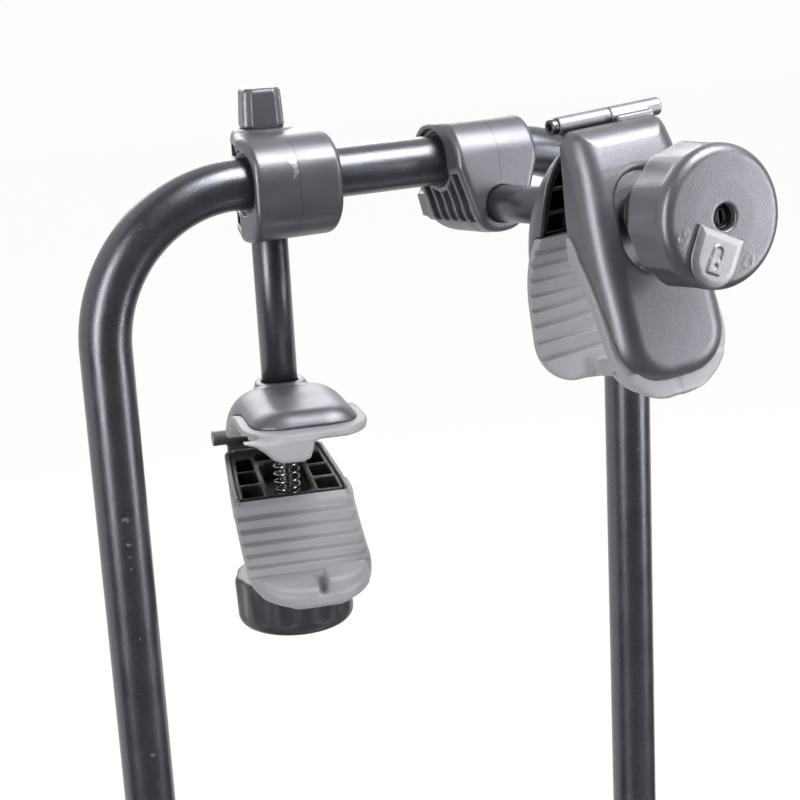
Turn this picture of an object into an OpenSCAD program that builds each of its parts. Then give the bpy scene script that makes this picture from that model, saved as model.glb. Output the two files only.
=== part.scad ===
// Bike carrier for a tow ball: a U-shaped frame with two clamping holders on a tilting platform.
// Origin at the centre of the tow ball, +Z up, +Y towards the vehicle, millimetres.

/* [Frame tube] */
// Outer diameter of the frame tube
tube_d = 30; // [26:1:34]
// Wall of the frame tube
tube_wall = 2; // [1.5:0.5:3]
// Distance between the two legs, centre to centre
frame_width = 356; // [330:1:420]
// Centre-line radius of the two top bends
bend_r = 85; // [75:1:90]
// Height of the top tube's axis above the ball's centre
frame_top_z = 740; // [680:10:820]
// Distance of the frame's plane behind the ball's centre
frame_back = 130; // [120:5:160]

/* [Holders] */
// Place of the left holder along the top tube
left_x = -61; // [-70:1:-45]
// Place of the right holder along the top tube
right_x = 64; // [45:1:70]
// Turn of the left holder about the top tube
left_turn = 0; // [-90:1:30]
// Turn of the right holder about the top tube
right_turn = -94.5; // [-110:0.5:-70]
// Distance from the top tube's axis to the left clamp's neck
left_reach = 127.5; // [110:0.5:160]
// Distance from the top tube's axis to the right clamp's neck
right_reach = 102; // [95:1:160]
// Turn of the left clamp about its arm
left_swivel = -13.5; // [-25:0.5:25]
// Turn of the right clamp about its arm
right_swivel = 175.7; // [160:0.1:200]
// Opening of the left clamp's front jaw
left_open = 10; // [-10:0.5:16]
// Opening of the right clamp's front jaw
right_open = 0; // [-10:0.5:16]
// Outer diameter of the arm tube
arm_d = 22; // [20:0.5:23]
// Wall of the arm tube
arm_wall = 2; // [1.5:0.5:3]
// Distance between the axes of the top tube and of an arm
arm_offset = 28; // [28:0.5:32]

/* [Collars] */
// Reach of a collar along its arm, from the top tube's axis
collar_low = 35; // [30:1:40]
// Reach of a collar towards its cap, from the top tube's axis
collar_high = 26; // [24:1:32]
// Width of a collar's wide side along the top tube
collar_w = 55; // [52:1:60]
// Distance from the top tube's axis to a collar's wide side
collar_front = 24; // [22:0.5:28]
// Radius of a collar's round lobe about the arm
lobe_r = 18.5; // [16.5:0.5:22]
// Radius of a collar's round top and bottom, seen from its end
collar_edge_r = 26; // [20:1:28]
// Radius of the wide side's corners
collar_corner_r = 4; // [2:1:6]
// Distance from the top tube's axis to where a collar's ends start to slant
collar_slant = 4; // [0:1:10]
// Radius of the flared tube opening
flare_r = 18.5; // [18:0.5:19.5]
// Wall of the sleeve between the tube and a collar
bush_wall = 1.3; // [0.8:0.1:1.4]
// Length of the sleeve
bush_len = 48; // [40:1:50]
// Height of the cap on a collar
cap_h = 24; // [18:1:30]
// Radius of the cap's corners at its foot
cap_r = 15; // [14:0.5:16]
// Half of the angle that one wide side of the cap takes up
cap_side = 34; // [28:1:40]
// Turn of the cap on its collar
cap_turn = -12; // [-45:1:45]

/* [Clamps] */
// Distance of the hinge pin from the arm's axis
pin_up = 50; // [48:1:54]
// Distance of the hinge pin from the clamp's neck
pin_out = 46; // [44:1:48]
// Diameter of the hinge screw
screw_d = 6; // [5:0.5:6]
// Outer diameter of the hinge knuckles
knuckle_d = 10; // [9:0.5:12]
// Length of the two hinge knuckles together
hinge_len = 66; // [60:1:72]
// Place of the hinge's middle across the clamp
hinge_shift = 5; // [0:1:10]
// Half width of a jaw at its widest
jaw_half = 37; // [35:1:40]
// Half width of a jaw next to the hinge
jaw_top_half = 33; // [30:1:34]
// Distance from the arm's axis down to the front jaw's lip
front_lip = 98; // [96:1:104]
// Distance from the arm's axis down to the rear jaw's lip
rear_lip = 97; // [92:1:98]
// Radius of the rear jaw's grip
grip_r = 57; // [54:0.5:60]
// Radius of the front jaw's wide grip
front_grip_r = 163; // [150:1:180]
// Thickness of the rear rubber pad
rear_pad_t = 5; // [4:0.5:6]
// Thickness of the front rubber pad
front_pad_t = 7; // [5:0.5:8]
// Wall of the moulded jaw shells
shell_t = 3; // [2:0.5:4]
// Number of grooves across each pad
groove_count = 7; // [4:1:9]
// Radius of one groove
groove_r = 1.3; // [0.8:0.1:1.8]

/* [Springs and knobs] */
// Outer diameter of the coil spring
spring_d = 17; // [15:0.5:17]
// Diameter of the spring wire
wire_d = 1.5; // [1:0.1:1.8]
// Number of curls of a spring
curls = 12; // [8:1:13]
// Diameter of the threaded rod
rod_d = 8; // [6:1:9]
// Diameter of a knob
knob_d = 75; // [68:1:80]
// Thickness of a knob's head
knob_t = 32.5; // [28:0.5:36]
// Diameter of a knob's neck
knob_neck_d = 31; // [26:1:34]
// Length of a knob's neck
knob_neck = 30.5; // [28:0.5:36]
// Number of finger hollows round a knob
knob_hollows = 12; // [8:1:16]
// Diameter of the key hole
key_hole_d = 13; // [11:0.5:15]
// Width of the sliding lock cover
lock_cover_w = 29; // [24:1:30]

/* [Platform] */
// Length of a wheel rail
rail_len = 1150; // [1000:10:1300]
// Width of a wheel rail
rail_w = 76; // [60:1:90]
// Height of a wheel rail
rail_h = 25; // [18:1:35]
// Wall of a wheel rail
rail_t = 3; // [2:0.5:4]
// Distance from the frame's plane to the first rail
rail_gap = 150; // [130:5:180]
// Distance between the two rails
rail_pitch = 200; // [180:5:240]
// Side of the square platform tubes
bar = 30; // [25:1:35]
// Wall of the platform tubes
bar_wall = 2; // [1.5:0.5:3]
// Width of the main beam
beam_w = 50; // [40:1:60]
// Height of the main beam
beam_h = 40; // [36:1:50]
// Thickness of the fold bracket's plates
plate_t = 4; // [3:0.5:6]
// Diameter of the fold pins and of the lever's pin
pin_d = 10; // [8:1:12]
// Diameter of the tilt pin
tilt_pin_d = 12; // [10:1:16]
// Diameter of the hole for the tow ball
ball_hole_d = 50.8; // [50.4:0.1:52]
// Length of the clamping lever
lever_len = 210; // [180:5:260]
// Width of the lamp board
board_w = 560; // [520:10:640]
// Height of the lamp board
board_h = 116; // [100:2:140]
// Width of a tail lamp
lamp_w = 200; // [160:10:240]

/* [Hidden] */

// Smoothness of round faces, and the number of flats in a drawn arc
$fn = 64;
arc_steps = 9;

// Clearances: a running fit, a seat between pieces of one assembly, and free room between moving pieces
run = 0.05;
seat = 0.2;
free = 0.3;

// Sides of the two holders
LEFT = 0;
RIGHT = 1;
holder_x = [left_x, right_x];
holder_turn = [left_turn, right_turn];
holder_reach = [left_reach, right_reach];
holder_swivel = [left_swivel, right_swivel];
holder_open = [left_open, right_open];

tube_r = tube_d / 2;
arm_r = arm_d / 2;
frame_y = -frame_back;
leg_x = frame_width / 2;
bush_r = tube_r + run + bush_wall;

// Jaw profiles in the clamp's side view: first value towards the hinge, second away from the neck
rear_floor = 12;
front_floor = 84;
rear_grip = [-51, rear_floor + grip_r];
front_grip = [-111, front_floor - front_grip_r];
rear_start = -9.5;
front_start = -20;
neck_r = arm_r + 4.5;
neck_depth = 12;
// Round crown of the front cover that the washer rolls on as the jaw tilts
crown_r = 32;
crown_low = 15;
seat_out = pin_out + crown_r;
washer_t = 2.5;
washer_out = seat_out + free;
knob_neck_out = washer_out + washer_t + free;
knob_back = knob_neck_out + knob_neck;
knob_front = knob_back + knob_t;
// Travel of a washer for each radian that its front jaw opens
washer_rate = pin_up + crown_low;
spring_foot = 16;
spring_r = (spring_d - wire_d) / 2;

function radians(a) = a * PI / 180;
function washer_slide(side) = washer_rate * radians(holder_open[side]);

// Points along a round stretch about c, from angle a0 to a1
function arc(c, r, a0, a1, n = arc_steps) =
    [for (i = [0:n]) let (a = a0 + (a1 - a0) * i / n) [c[0] + r * cos(a), c[1] + r * sin(a)]];

// Angle on a circle of radius r about c where it crosses the line y, measured from the circle's bottom
function lean(c, r, y) = asin((y - c[0]) / r);

// Share of the half width that a jaw has at three heights between its hinge and its widest place
jaw_bulge = [[0.93, 22], [0.97, 4], [1, -15]];

// A jaw's outline seen along the arm: narrow at the hinge, bulging sides, round corners at the lip
function jaw_outline(top, lip, grow = 0, corner = 27) =
    let (h = jaw_half + grow, t = jaw_top_half + grow, r = corner + grow, last = len(jaw_bulge) - 1)
    concat(
        arc([t - 8, top - 8 + grow], 8, 80, 5, 4),
        [for (p = jaw_bulge) [p[0] * h, p[1]]],
        arc([h - r, -lip + r - grow], r, 0, -90),
        arc([-(h - r), -lip + r - grow], r, -90, -180),
        [for (i = [last:-1:0]) [-jaw_bulge[i][0] * h, jaw_bulge[i][1]]],
        arc([-(t - 8), top - 8 + grow], 8, 175, 100, 4)
    );

// Draws a side profile and gives it a width across the clamp
module across(w) {
    rotate([90, 0, 90]) linear_extrude(w, center = true) children();
}

module at_holder(side) {
    translate([holder_x[side], frame_y, frame_top_z]) rotate([holder_turn[side], 0, 0]) children();
}

// Clamp frame: X across, Y towards the hinge, Z away from the neck
module at_clamp(side) {
    at_holder(side)
        translate([0, arm_offset, -holder_reach[side]])
            rotate([0, 0, holder_swivel[side]])
                rotate([0, 180, 0]) children();
}

module at_front_jaw(side) {
    at_clamp(side)
        translate([0, pin_up, pin_out])
            rotate([-holder_open[side], 0, 0])
                translate([0, -pin_up, -pin_out]) children();
}

module at_knob(side) {
    at_clamp(side) translate([0, 0, washer_slide(side)]) children();
}

// A cylinder along X
module rod_x(r, len, x = 0) {
    translate([x, 0, 0]) rotate([0, 90, 0]) cylinder(r = r, h = len, center = true);
}

module tube_z(r, wall, z0, z1) {
    difference() {
        translate([0, 0, z0]) cylinder(r = r, h = z1 - z0);
        translate([0, 0, z0 - 1]) cylinder(r = r - wall, h = z1 - z0 + 2);
    }
}

// Frame

tilt_y = -70;
tilt_z = 10;
beam_top = tilt_z + beam_h / 2;
bar_top = beam_top + bar;
leg_end = 20;
leg_gap = 8;
pivot_z = bar_top + plate_t + leg_gap + leg_end;
leg_bottom = pivot_z - leg_end;

module frame_bend() {
    rotate([90, 0, 0])
        rotate_extrude(angle = 90)
            translate([bend_r, 0]) difference() {
                circle(r = tube_r);
                circle(r = tube_r - tube_wall);
            }
}

module frame_half() {
    translate([leg_x - bend_r, 0, frame_top_z - bend_r]) frame_bend();
    translate([leg_x, 0, 0]) tube_z(tube_r, tube_wall, leg_bottom, frame_top_z - bend_r);
}

module u_frame() {
    color("#33363b") translate([0, frame_y, 0]) difference() {
        union() {
            frame_half();
            mirror([1, 0, 0]) frame_half();
            translate([0, 0, frame_top_z]) rotate([0, 90, 0])
                tube_z(tube_r, tube_wall, -(leg_x - bend_r), leg_x - bend_r);
        }
        translate([0, 0, pivot_z]) rod_x(pin_d / 2 + run, 2 * leg_x + tube_d + 2);
    }
}

// Collars

module sleeve(side) {
    color("#1d1e20") at_holder(side) difference() {
        rod_x(bush_r, bush_len);
        rod_x(tube_r + run, bush_len + 2);
    }
}

// Outline of a collar seen along its arm: a wide side, straight ends, then slants that close on the arm's lobe
function collar_outline() =
    let (
        w = collar_w / 2,
        r = collar_corner_r,
        d = [w, collar_slant - arm_offset],
        a = atan2(d[1], d[0]) + acos(lobe_r / norm(d))
    )
    concat(
        [[-w, collar_slant]], arc([r - w, r - collar_front], r, 180, 270, 4),
        arc([w - r, r - collar_front], r, -90, 0, 4), [[w, collar_slant]],
        arc([0, arm_offset], lobe_r, a, 180 - a, 16)
    );

function collar_profile() =
    let (b = arm_offset + lobe_r, r = collar_edge_r, s = 6)
    concat(
        arc([-collar_front + r, -collar_low + r], r, 180, 270),
        arc([b - s, -collar_low + s], s, 270, 360, 4),
        arc([b - s, collar_high - s], s, 0, 90, 4),
        arc([-collar_front + r, collar_high - r], r, 90, 180)
    );

// Outline of a collar seen from its wide side
function collar_face() =
    let (w = collar_w / 2, r = collar_corner_r)
    concat(
        arc([r - w, r - collar_low], r, 180, 270, 4), arc([w - r, r - collar_low], r, 270, 360, 4),
        arc([w - r, collar_high - r], r, 0, 90, 4), arc([r - w, collar_high - r], r, 90, 180, 4)
    );

collar_h = collar_low + collar_high;
rib_pitch = collar_h / 6;
rib_t = 2.4;
lobe_wall = 3.5;

// Hollows between the ribs in a collar's slanted ends, beside the arm
module rib_hollows() {
    for (k = [-2:2], s = [0, 1])
        mirror([s, 0, 0])
            translate([0, 0, (collar_high - collar_low) / 2 + k * rib_pitch - (rib_pitch - rib_t) / 2])
                linear_extrude(rib_pitch - rib_t) difference() {
                    translate([lobe_r / 2, tube_r + 5]) square([collar_w, arm_offset + lobe_r / 3 - tube_r]);
                    translate([0, arm_offset]) circle(r = arm_r + lobe_wall);
                }
}

module collar_body() {
    intersection() {
        translate([0, 0, -collar_h]) linear_extrude(2 * collar_h) polygon(collar_outline());
        across(2 * collar_w) polygon(collar_profile());
        translate([0, collar_w, 0]) rotate([90, 0, 0]) linear_extrude(2 * collar_w) polygon(collar_face());
    }
    translate([0, arm_offset, 0]) cylinder(r = cap_r + 1, h = collar_high + 1);
}

module collar(side) {
    flare = 3.5;
    color("#5d6066") at_holder(side) difference() {
        collar_body();
        rod_x(bush_r + run, collar_w + 2);
        for (s = [-1, 1]) rod_x(flare_r, flare + 1, s * (collar_w / 2 - flare / 2 + 0.5));
        translate([0, arm_offset, -collar_h]) cylinder(r = arm_r + run, h = collar_h + arm_depth);
        rib_hollows();
    }
}

arm_depth = 20;

// Cap with four wide sides, narrow slanted corners between them, and a slight taper
module collar_cap(side) {
    color("#5d6066") at_holder(side) translate([0, arm_offset, collar_high + 1 + seat]) rotate([0, 0, cap_turn]) {
        linear_extrude(cap_h - cap_edge, scale = cap_taper) polygon(cap_outline());
        translate([0, 0, cap_h - cap_edge]) linear_extrude(cap_edge, scale = cap_top)
            scale(cap_taper) polygon(cap_outline());
    }
}

cap_taper = 0.9;
cap_edge = 3;
cap_top = 0.8;
function cap_outline() = [for (k = [0:3], s = [-cap_side, cap_side]) cap_r * [cos(90 * k + s), sin(90 * k + s)]];

module arm(side) {
    color("#33363b") at_holder(side) translate([0, arm_offset, 0])
        tube_z(arm_r, arm_wall, -holder_reach[side] - neck_depth, arm_depth - free);
}

// Rear jaws

rear_top = 42;
rear_rim = [[40, 44], [rear_start, 27]];
back_r = 80;
back_start = -30;
back_out = -2;
lip_r = 18;
dome_r = 18;

// Back of the rear shell: round at the lip, flat at the neck, an arc up to the hinge
module rear_shell_profile() {
    r = grip_r + rear_pad_t + seat;
    floor_out = rear_grip[1] - r;
    lip_c = [2 + lip_r - rear_lip, back_out + lip_r];
    lip_start = asin((lip_c[1] - floor_out) / lip_r) - 180;
    polygon(concat(
        arc(lip_c, lip_r, lip_start, -90, 6),
        arc([back_start, back_out + back_r], back_r, -90, -90 + asin((rear_top - back_start) / back_r)),
        rear_rim,
        arc(rear_grip, r, -90 + lean(rear_grip, r, rear_start), -90, 12)
    ));
}

// Cross outline of the rear shell, with its back edges rounded into a dome
function dome_outline(inset = 0) =
    let (h = jaw_half - inset, r = dome_r - inset, z = back_out - 0.5 + dome_r)
    concat(
        arc([-h + r, z], r, 180, 270, 7), arc([h - r, z], r, 270, 360, 7),
        [[h, 60], [-h, 60]]
    );

module dome(inset = 0) {
    translate([0, 100, 0]) rotate([90, 0, 0]) linear_extrude(220) polygon(dome_outline(inset));
}

module rear_shell(side) {
    color("#5d6066") at_clamp(side) difference() {
        union() {
            intersection() {
                translate([0, 0, -20]) linear_extrude(100) polygon(jaw_outline(rear_top, rear_lip - 2, -1));
                across(100) rear_shell_profile();
                dome();
            }
            translate([0, 0, -1]) cylinder(r = neck_r, h = neck_depth + 1);
        }
        translate([0, 0, -30]) cylinder(r = arm_r + seat, h = 60);
        rear_cavity(0);
    }
}

// Room inside the rear shell for the ribbed body
module rear_cavity(gap) {
    wall = shell_t + gap;
    difference() {
        intersection() {
            linear_extrude(90) polygon(jaw_outline(rear_top - wall, rear_lip, -1 - wall));
            across(100) polygon(concat(
                [[rear_start + gap, 60], [rear_start + gap, back_out + wall + 7]],
                arc([back_start, back_out + back_r], back_r - wall, -74, -26),
                [[rear_top, 60]]
            ));
            dome(wall);
        }
        cylinder(r = neck_r, h = neck_depth + gap);
    }
}

// Pockets of a ribbed body: two on each side, and a well for the spring in the middle
module body_pockets(z0, z1) {
    for (s = [-1, 1]) {
        translate([s * 21 - 6.5, -6, z0]) cube([13, 18, z1 - z0]);
        translate([s * 19.5 - 5, 15, z0]) cube([10, 17, z1 - z0]);
    }
}

module rear_body(side) {
    color("#18191b") at_clamp(side) difference() {
        intersection() {
            rear_cavity(seat);
            across(100) polygon([rear_rim[1] - [1, 40], rear_rim[1] - [1, 1], rear_rim[0] - [0, 1], [60, 0]]);
        }
        body_pockets(back_out + shell_t + 12, 60);
        translate([-11, rear_start - 5, spring_foot]) cube([22, 29, 60]);
        translate([0, 0, -1]) cylinder(r = rod_d / 2 + 1, h = 60);
    }
}

// Grooves across a pad, spread along its round grip
module grooves(c, r, a0, a1) {
    for (i = [0:groove_count - 1]) {
        a = a0 + (a1 - a0) * i / (groove_count - 1);
        translate([0, c[0] + r * cos(a), c[1] + r * sin(a)])
            rotate([0, 90, 0]) cylinder(r = groove_r, h = 100, center = true, $fn = 20);
    }
}

// Tongue at the rear pad's lip, seen along the jaw
tongue = [[-1, 0], [1.5, 8], [4, 10.5], [16, 10], [34, 1], [34, 0]];
tongue_len = 10;

module rear_pad(side) {
    a_top = -90 + lean(rear_grip, grip_r, rear_start);
    pad_in = rear_grip[1] - grip_r;
    color("#9b9da0") at_clamp(side) difference() {
        intersection() {
            translate([0, 0, -5]) linear_extrude(80) polygon(jaw_outline(rear_top, rear_lip, 0));
            union() {
                across(100) polygon(concat(
                    arc(rear_grip, grip_r, a_top, -90, 16),
                    [[-rear_lip + 2, pad_in], [-rear_lip - 1, pad_in - 1.5], [-rear_lip - 1, pad_in - rear_pad_t]],
                    arc(rear_grip, grip_r + rear_pad_t, -90, a_top, 16)
                ));
                translate([0, tongue_len - rear_lip - 1, pad_in - 0.5]) rotate([90, 0, 0])
                    linear_extrude(tongue_len + 1) polygon(tongue);
            }
        }
        grooves(rear_grip, grip_r, a_top - 8, -90 - 18);
        translate([-50, rear_start - seat, 0]) cube([100, 20, 60]);
    }
}

// Hinge

knuckle_gap = 0.15;

module rear_knuckle(side) {
    len = hinge_len / 2 - knuckle_gap;
    color("#b9bcc0") at_clamp(side) translate([0, pin_up, pin_out]) difference() {
        union() {
            rod_x(knuckle_d / 2, len, hinge_shift - hinge_len / 4);
            translate([hinge_shift - hinge_len / 2 + 3, rear_top - pin_up + seat, -9])
                cube([hinge_len / 2 - 3 - knuckle_gap, 4, 9]);
        }
        rod_x(screw_d / 2 + run, hinge_len * 2);
    }
}

module front_knuckle(side) {
    len = hinge_len / 2 - knuckle_gap;
    color("#b9bcc0") at_front_jaw(side) translate([0, pin_up, pin_out]) difference() {
        union() {
            rod_x(knuckle_d / 2, len, hinge_shift + hinge_len / 4);
            translate([hinge_shift + knuckle_gap, -4, 0])
                cube([jaw_top_half - 4 - hinge_shift, 4, front_top_out - pin_out - seat]);
        }
        rod_x(screw_d / 2 + run, hinge_len * 2);
    }
}

module hinge_screw(side) {
    head_r = knuckle_d / 2 - 0.6;
    head_h = 4;
    head_x = hinge_shift - hinge_len / 2 - free / 2;
    color("#c4c6ca") at_clamp(side) translate([0, pin_up, pin_out]) difference() {
        union() {
            rod_x(screw_d / 2, hinge_len, hinge_shift);
            rod_x(head_r, head_h, head_x - head_h / 2);
            rod_x(screw_d / 2, free, head_x);
        }
        translate([head_x - head_h - 1, 0, 0]) rotate([0, 90, 0]) cylinder(r = screw_d / 2 - 0.5, h = 3.5, $fn = 6);
    }
}

// Front jaws

front_top = 52;
front_top_out = pin_out + 10;
face_out = pin_out + 24;
front_rim = [[front_start, front_floor - 29], [40, pin_out + 7]];
cover_end = front_lip - 5;
// Slope of the face where it leaves the crown, which the washer's edge clears as the jaw closes
face_lean = 10.2;
recess_start = crown_r * sin(face_lean) - crown_low;
recess_end = -30.5;
recess_top = 22.5;
crown_edge = pin_out + crown_r * cos(face_lean);

// Side profile of the front cover: its face from the hinge to the lip, then the pad's back and the rim
module front_cover_profile() {
    r = front_grip_r + front_pad_t + seat;
    c = front_grip;
    a_top = 90 - lean(c, r, front_start);
    a_end = 90 - lean(c, r, -cover_end);
    polygon(concat(
        [[front_top, front_top_out], [front_top, face_out - 10], [front_top - 6, face_out - 3.5]],
        [[front_top - 15, face_out + 1], [20, seat_out - 1], [-5, seat_out + 3.5], [-28, seat_out + 7.5]],
        [[-40, seat_out + 10.5]],
        [[-56, seat_out + 14], [19 - cover_end, seat_out + 17], [5 - cover_end, seat_out + 17]],
        [[-cover_end, seat_out + 14.5]],
        arc(c, r, a_end, a_top, 14),
        front_rim,
        [[40, front_top_out]]
    ));
}

// Recess in the face behind a knob's neck: its floor is the round crown that the washer rolls on
module crown_recess() {
    c = [-crown_low, pin_out];
    a0 = 90 - lean(c, crown_r, recess_start);
    a1 = 90 - lean(c, crown_r, -26.5);
    across(knob_neck_d + 5) polygon(concat(
        arc(c, crown_r, a0, a1, 8),
        [[recess_end, seat_out - 3], [recess_end, 120], [recess_top, 120]],
        [[recess_top, crown_edge - (recess_top - recess_start) * tan(face_lean)]]
    ));
}

module front_cover(side) {
    color("#63666c") at_front_jaw(side) difference() {
        intersection() {
            linear_extrude(120) polygon(jaw_outline(front_top, cover_end, -1, 30));
            across(100) front_cover_profile();
        }
        crown_recess();
        front_cavity(0);
        rod_slot(seat_out - 20, 30);
    }
}

// Slot that lets the rod lean as the jaw opens and closes
module rod_slot(z0, h) {
    r = rod_d / 2 + 1.2;
    for (y = [-11, 6]) translate([0, y, z0]) cylinder(r = r, h = h);
    translate([-r, -11, z0]) cube([2 * r, 17, h]);
}

module front_cavity(gap) {
    wall = shell_t + gap;
    intersection() {
        linear_extrude(120) polygon(jaw_outline(front_top, cover_end, -1 - wall));
        across(100) polygon([
            [front_start + gap, 0], [front_start + gap, seat_out - 3 - wall], [recess_start, crown_edge - wall],
            [front_top - 20, face_out - 1 - wall], [front_top - 14 - gap, face_out - 3 - wall],
            [front_top - 14 - gap, 0]
        ]);
    }
}

module front_body(side) {
    color("#18191b") at_front_jaw(side) difference() {
        intersection() {
            front_cavity(seat);
            across(120) polygon([front_rim[0] + [0, 1], front_rim[1] + [0, 1], [60, 90], [front_start, 90]]);
        }
        translate([0, 1, 0]) body_pockets(0, seat_out - shell_t - 12);
        translate([-12, front_start - 1, 0]) cube([24, 24 - front_start, seat_out - shell_t - 9]);
        rod_slot(20, 100);
    }
}

// Raised land at the front pad's lip, beside the place of the rear pad's tongue
land = [[-40, 0], [-40, -12], [-6, -12], [-3, 0]];
land_len = 17;

module front_pad(side) {
    a_top = 90 - lean(front_grip, front_grip_r, front_start);
    a_lip = 90 - lean(front_grip, front_grip_r, -front_lip);
    lip_in = front_grip[1] + front_grip_r;
    color("#9b9da0") at_front_jaw(side) difference() {
        intersection() {
            linear_extrude(120) polygon(jaw_outline(front_top, front_lip, 0.5, 34));
            union() {
                across(100) polygon(concat(
                    arc(front_grip, front_grip_r, a_top, a_lip, 16),
                    [[-front_lip - 1, lip_in + 5], [-front_lip + 3, lip_in + 8]],
                    arc(front_grip, front_grip_r + front_pad_t, a_lip - 1.6, a_top, 16)
                ));
                translate([0, land_len - front_lip - 1, lip_in + 0.5]) rotate([90, 0, 0])
                    linear_extrude(land_len + 1) polygon(land);
            }
        }
        grooves(front_grip, front_grip_r, a_top + 3, a_top + 20);
        translate([-50, front_start - seat, 30]) cube([100, 20, 60]);
    }
}

// Springs, rods and knobs

curl_rings = 8;
wire_sides = 6;
function spring_top(side) = side == LEFT ? spring_foot + 55.5 : spring_foot + 30;
function spring_pitch(side) = (spring_top(side) - spring_foot - wire_d) / curls;

function coil_point(side, i) =
    let (a = 360 * i / curl_rings)
    [spring_r * cos(a), spring_r * sin(a), spring_foot + wire_d / 2 + free + spring_pitch(side) * i / curl_rings];

// Least gap between one curl's wire and the next, measured on the coil's own points
function coil_gap(side) =
    min([for (i = [0:curl_rings - 1]) norm(coil_point(side, i + curl_rings) - coil_point(side, i))]) - wire_d;

module coil(side) {
    rings = curls * curl_rings;
    points = [for (i = [0:rings], k = [0:wire_sides - 1])
        let (a = 360 * i / curl_rings, b = 360 * k / wire_sides, p = coil_point(side, i), r = wire_d / 2)
        p + [r * cos(b) * cos(a), r * cos(b) * sin(a), r * sin(b)]];
    skin = [for (i = [0:rings - 1], k = [0:wire_sides - 1])
        let (a = i * wire_sides + k, b = i * wire_sides + (k + 1) % wire_sides)
        for (f = [[a, a + wire_sides, b], [b, a + wire_sides, b + wire_sides]]) f];
    ends = [for (k = [1:wire_sides - 2])
        for (f = [[0, k, k + 1], [rings * wire_sides, rings * wire_sides + k + 1, rings * wire_sides + k]]) f];
    polyhedron(points, concat(skin, ends));
}

module spring(side) {
    echo(side = side, least_gap_of_spring_mm = coil_gap(side));
    color("#c9cbcf") at_clamp(side) coil(side);
}

module washer(side) {
    color("#2a2b2e") at_knob(side) translate([0, 0, washer_out]) difference() {
        cylinder(r = knob_neck_d / 2, h = washer_t);
        translate([0, 0, -1]) cylinder(r = rod_d / 2 + run, h = washer_t + 2);
    }
}

rod_back = -22;
rod_depth = 12;

module rod(side) {
    color("#b9bcc0") at_knob(side) translate([0, 0, rod_back])
        cylinder(r = rod_d / 2, h = knob_back + rod_depth - rod_back);
}

module knob_head() {
    r = knob_d / 2;
    edge = 5;
    rotate_extrude() polygon(concat(
        [[0, knob_neck_out], [knob_neck_d / 2, knob_neck_out], [knob_neck_d / 2, knob_back]],
        arc([r - 3, knob_back + 3], 3, -90, 0, 4),
        arc([r - edge - 1, knob_front - edge], edge, 0, 90, 6),
        [[0, knob_front]]
    ));
}

module knob(side) {
    hollow_r = 24;
    color(side == LEFT ? "#3a3c40" : "#63666c") at_knob(side) difference() {
        knob_head();
        for (i = [0:knob_hollows - 1]) rotate([0, 0, 360 * (i + 0.5) / knob_hollows])
            translate([knob_d / 2 + hollow_r - 1.8, 0, knob_back - 1]) cylinder(r = hollow_r, h = knob_t - 6);
        translate([0, 0, knob_neck_out - 1]) cylinder(r = rod_d / 2 + seat, h = knob_neck + 1 + rod_depth + seat);
        if (side == RIGHT) lock_room();
    }
}

lock_depth = 12;
cover_t = 2.6;
cover_low = -knob_d / 2 + 1.5;
cover_high = -7.5;
cover_travel = 14;
lock_turn = -28;
guide_w = 6;
guide_depth = 3;
guide_len = 9;

// Key hole, and the groove under the lock cover that guides it
module lock_room() {
    translate([0, 0, knob_front - lock_depth]) cylinder(r = key_hole_d / 2, h = lock_depth + 1);
    rotate([0, 0, lock_turn]) translate([-guide_w / 2, cover_low + 4, knob_front - guide_depth])
        cube([guide_w, guide_len + cover_travel + 2 * free, guide_depth + 1]);
}

module lock_cylinder(side) {
    recess = 4;
    color("#101113") at_knob(side) translate([0, 0, knob_front - lock_depth + seat]) difference() {
        cylinder(r = key_hole_d / 2 - run, h = lock_depth - recess);
        translate([-0.75, -3.5, 2]) cube([1.5, 7, lock_depth]);
    }
}

module lock_cover(side) {
    w = lock_cover_w / 2;
    z0 = knob_front + seat / 2;
    color("#63666c") at_knob(side) rotate([0, 0, lock_turn]) {
        translate([0, 0, z0]) linear_extrude(cover_t) polygon(concat(
            [[w, cover_high], [-w, cover_high]],
            arc([0, cover_low + w], w, 180, 360, 14)
        ));
        translate([seat - guide_w / 2, cover_low + 4 + free, knob_front - guide_depth + seat])
            cube([guide_w - 2 * seat, guide_len, guide_depth]);
        translate([-3.5, cover_low + 7, z0 + cover_t - 0.1]) cube([7, 6, 0.7]);
        translate([0, cover_low + 13, z0 + cover_t - 0.1]) linear_extrude(0.7) difference() {
            circle(r = 3.2);
            circle(r = 2.2);
            translate([-5, -10]) square([10, 10]);
        }
    }
}

// Coupling

housing_w = 76;
housing_half = 45;
housing_top = 42;
housing_low = -21;
clevis_t = 10;
clevis_gap = 1;
clevis_end = -88;
lever_y = 30;
lever_z = 56;
hub_r = 13;
hub_w = 26;
jaw_w = 30;
jaw_top = 12;

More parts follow.
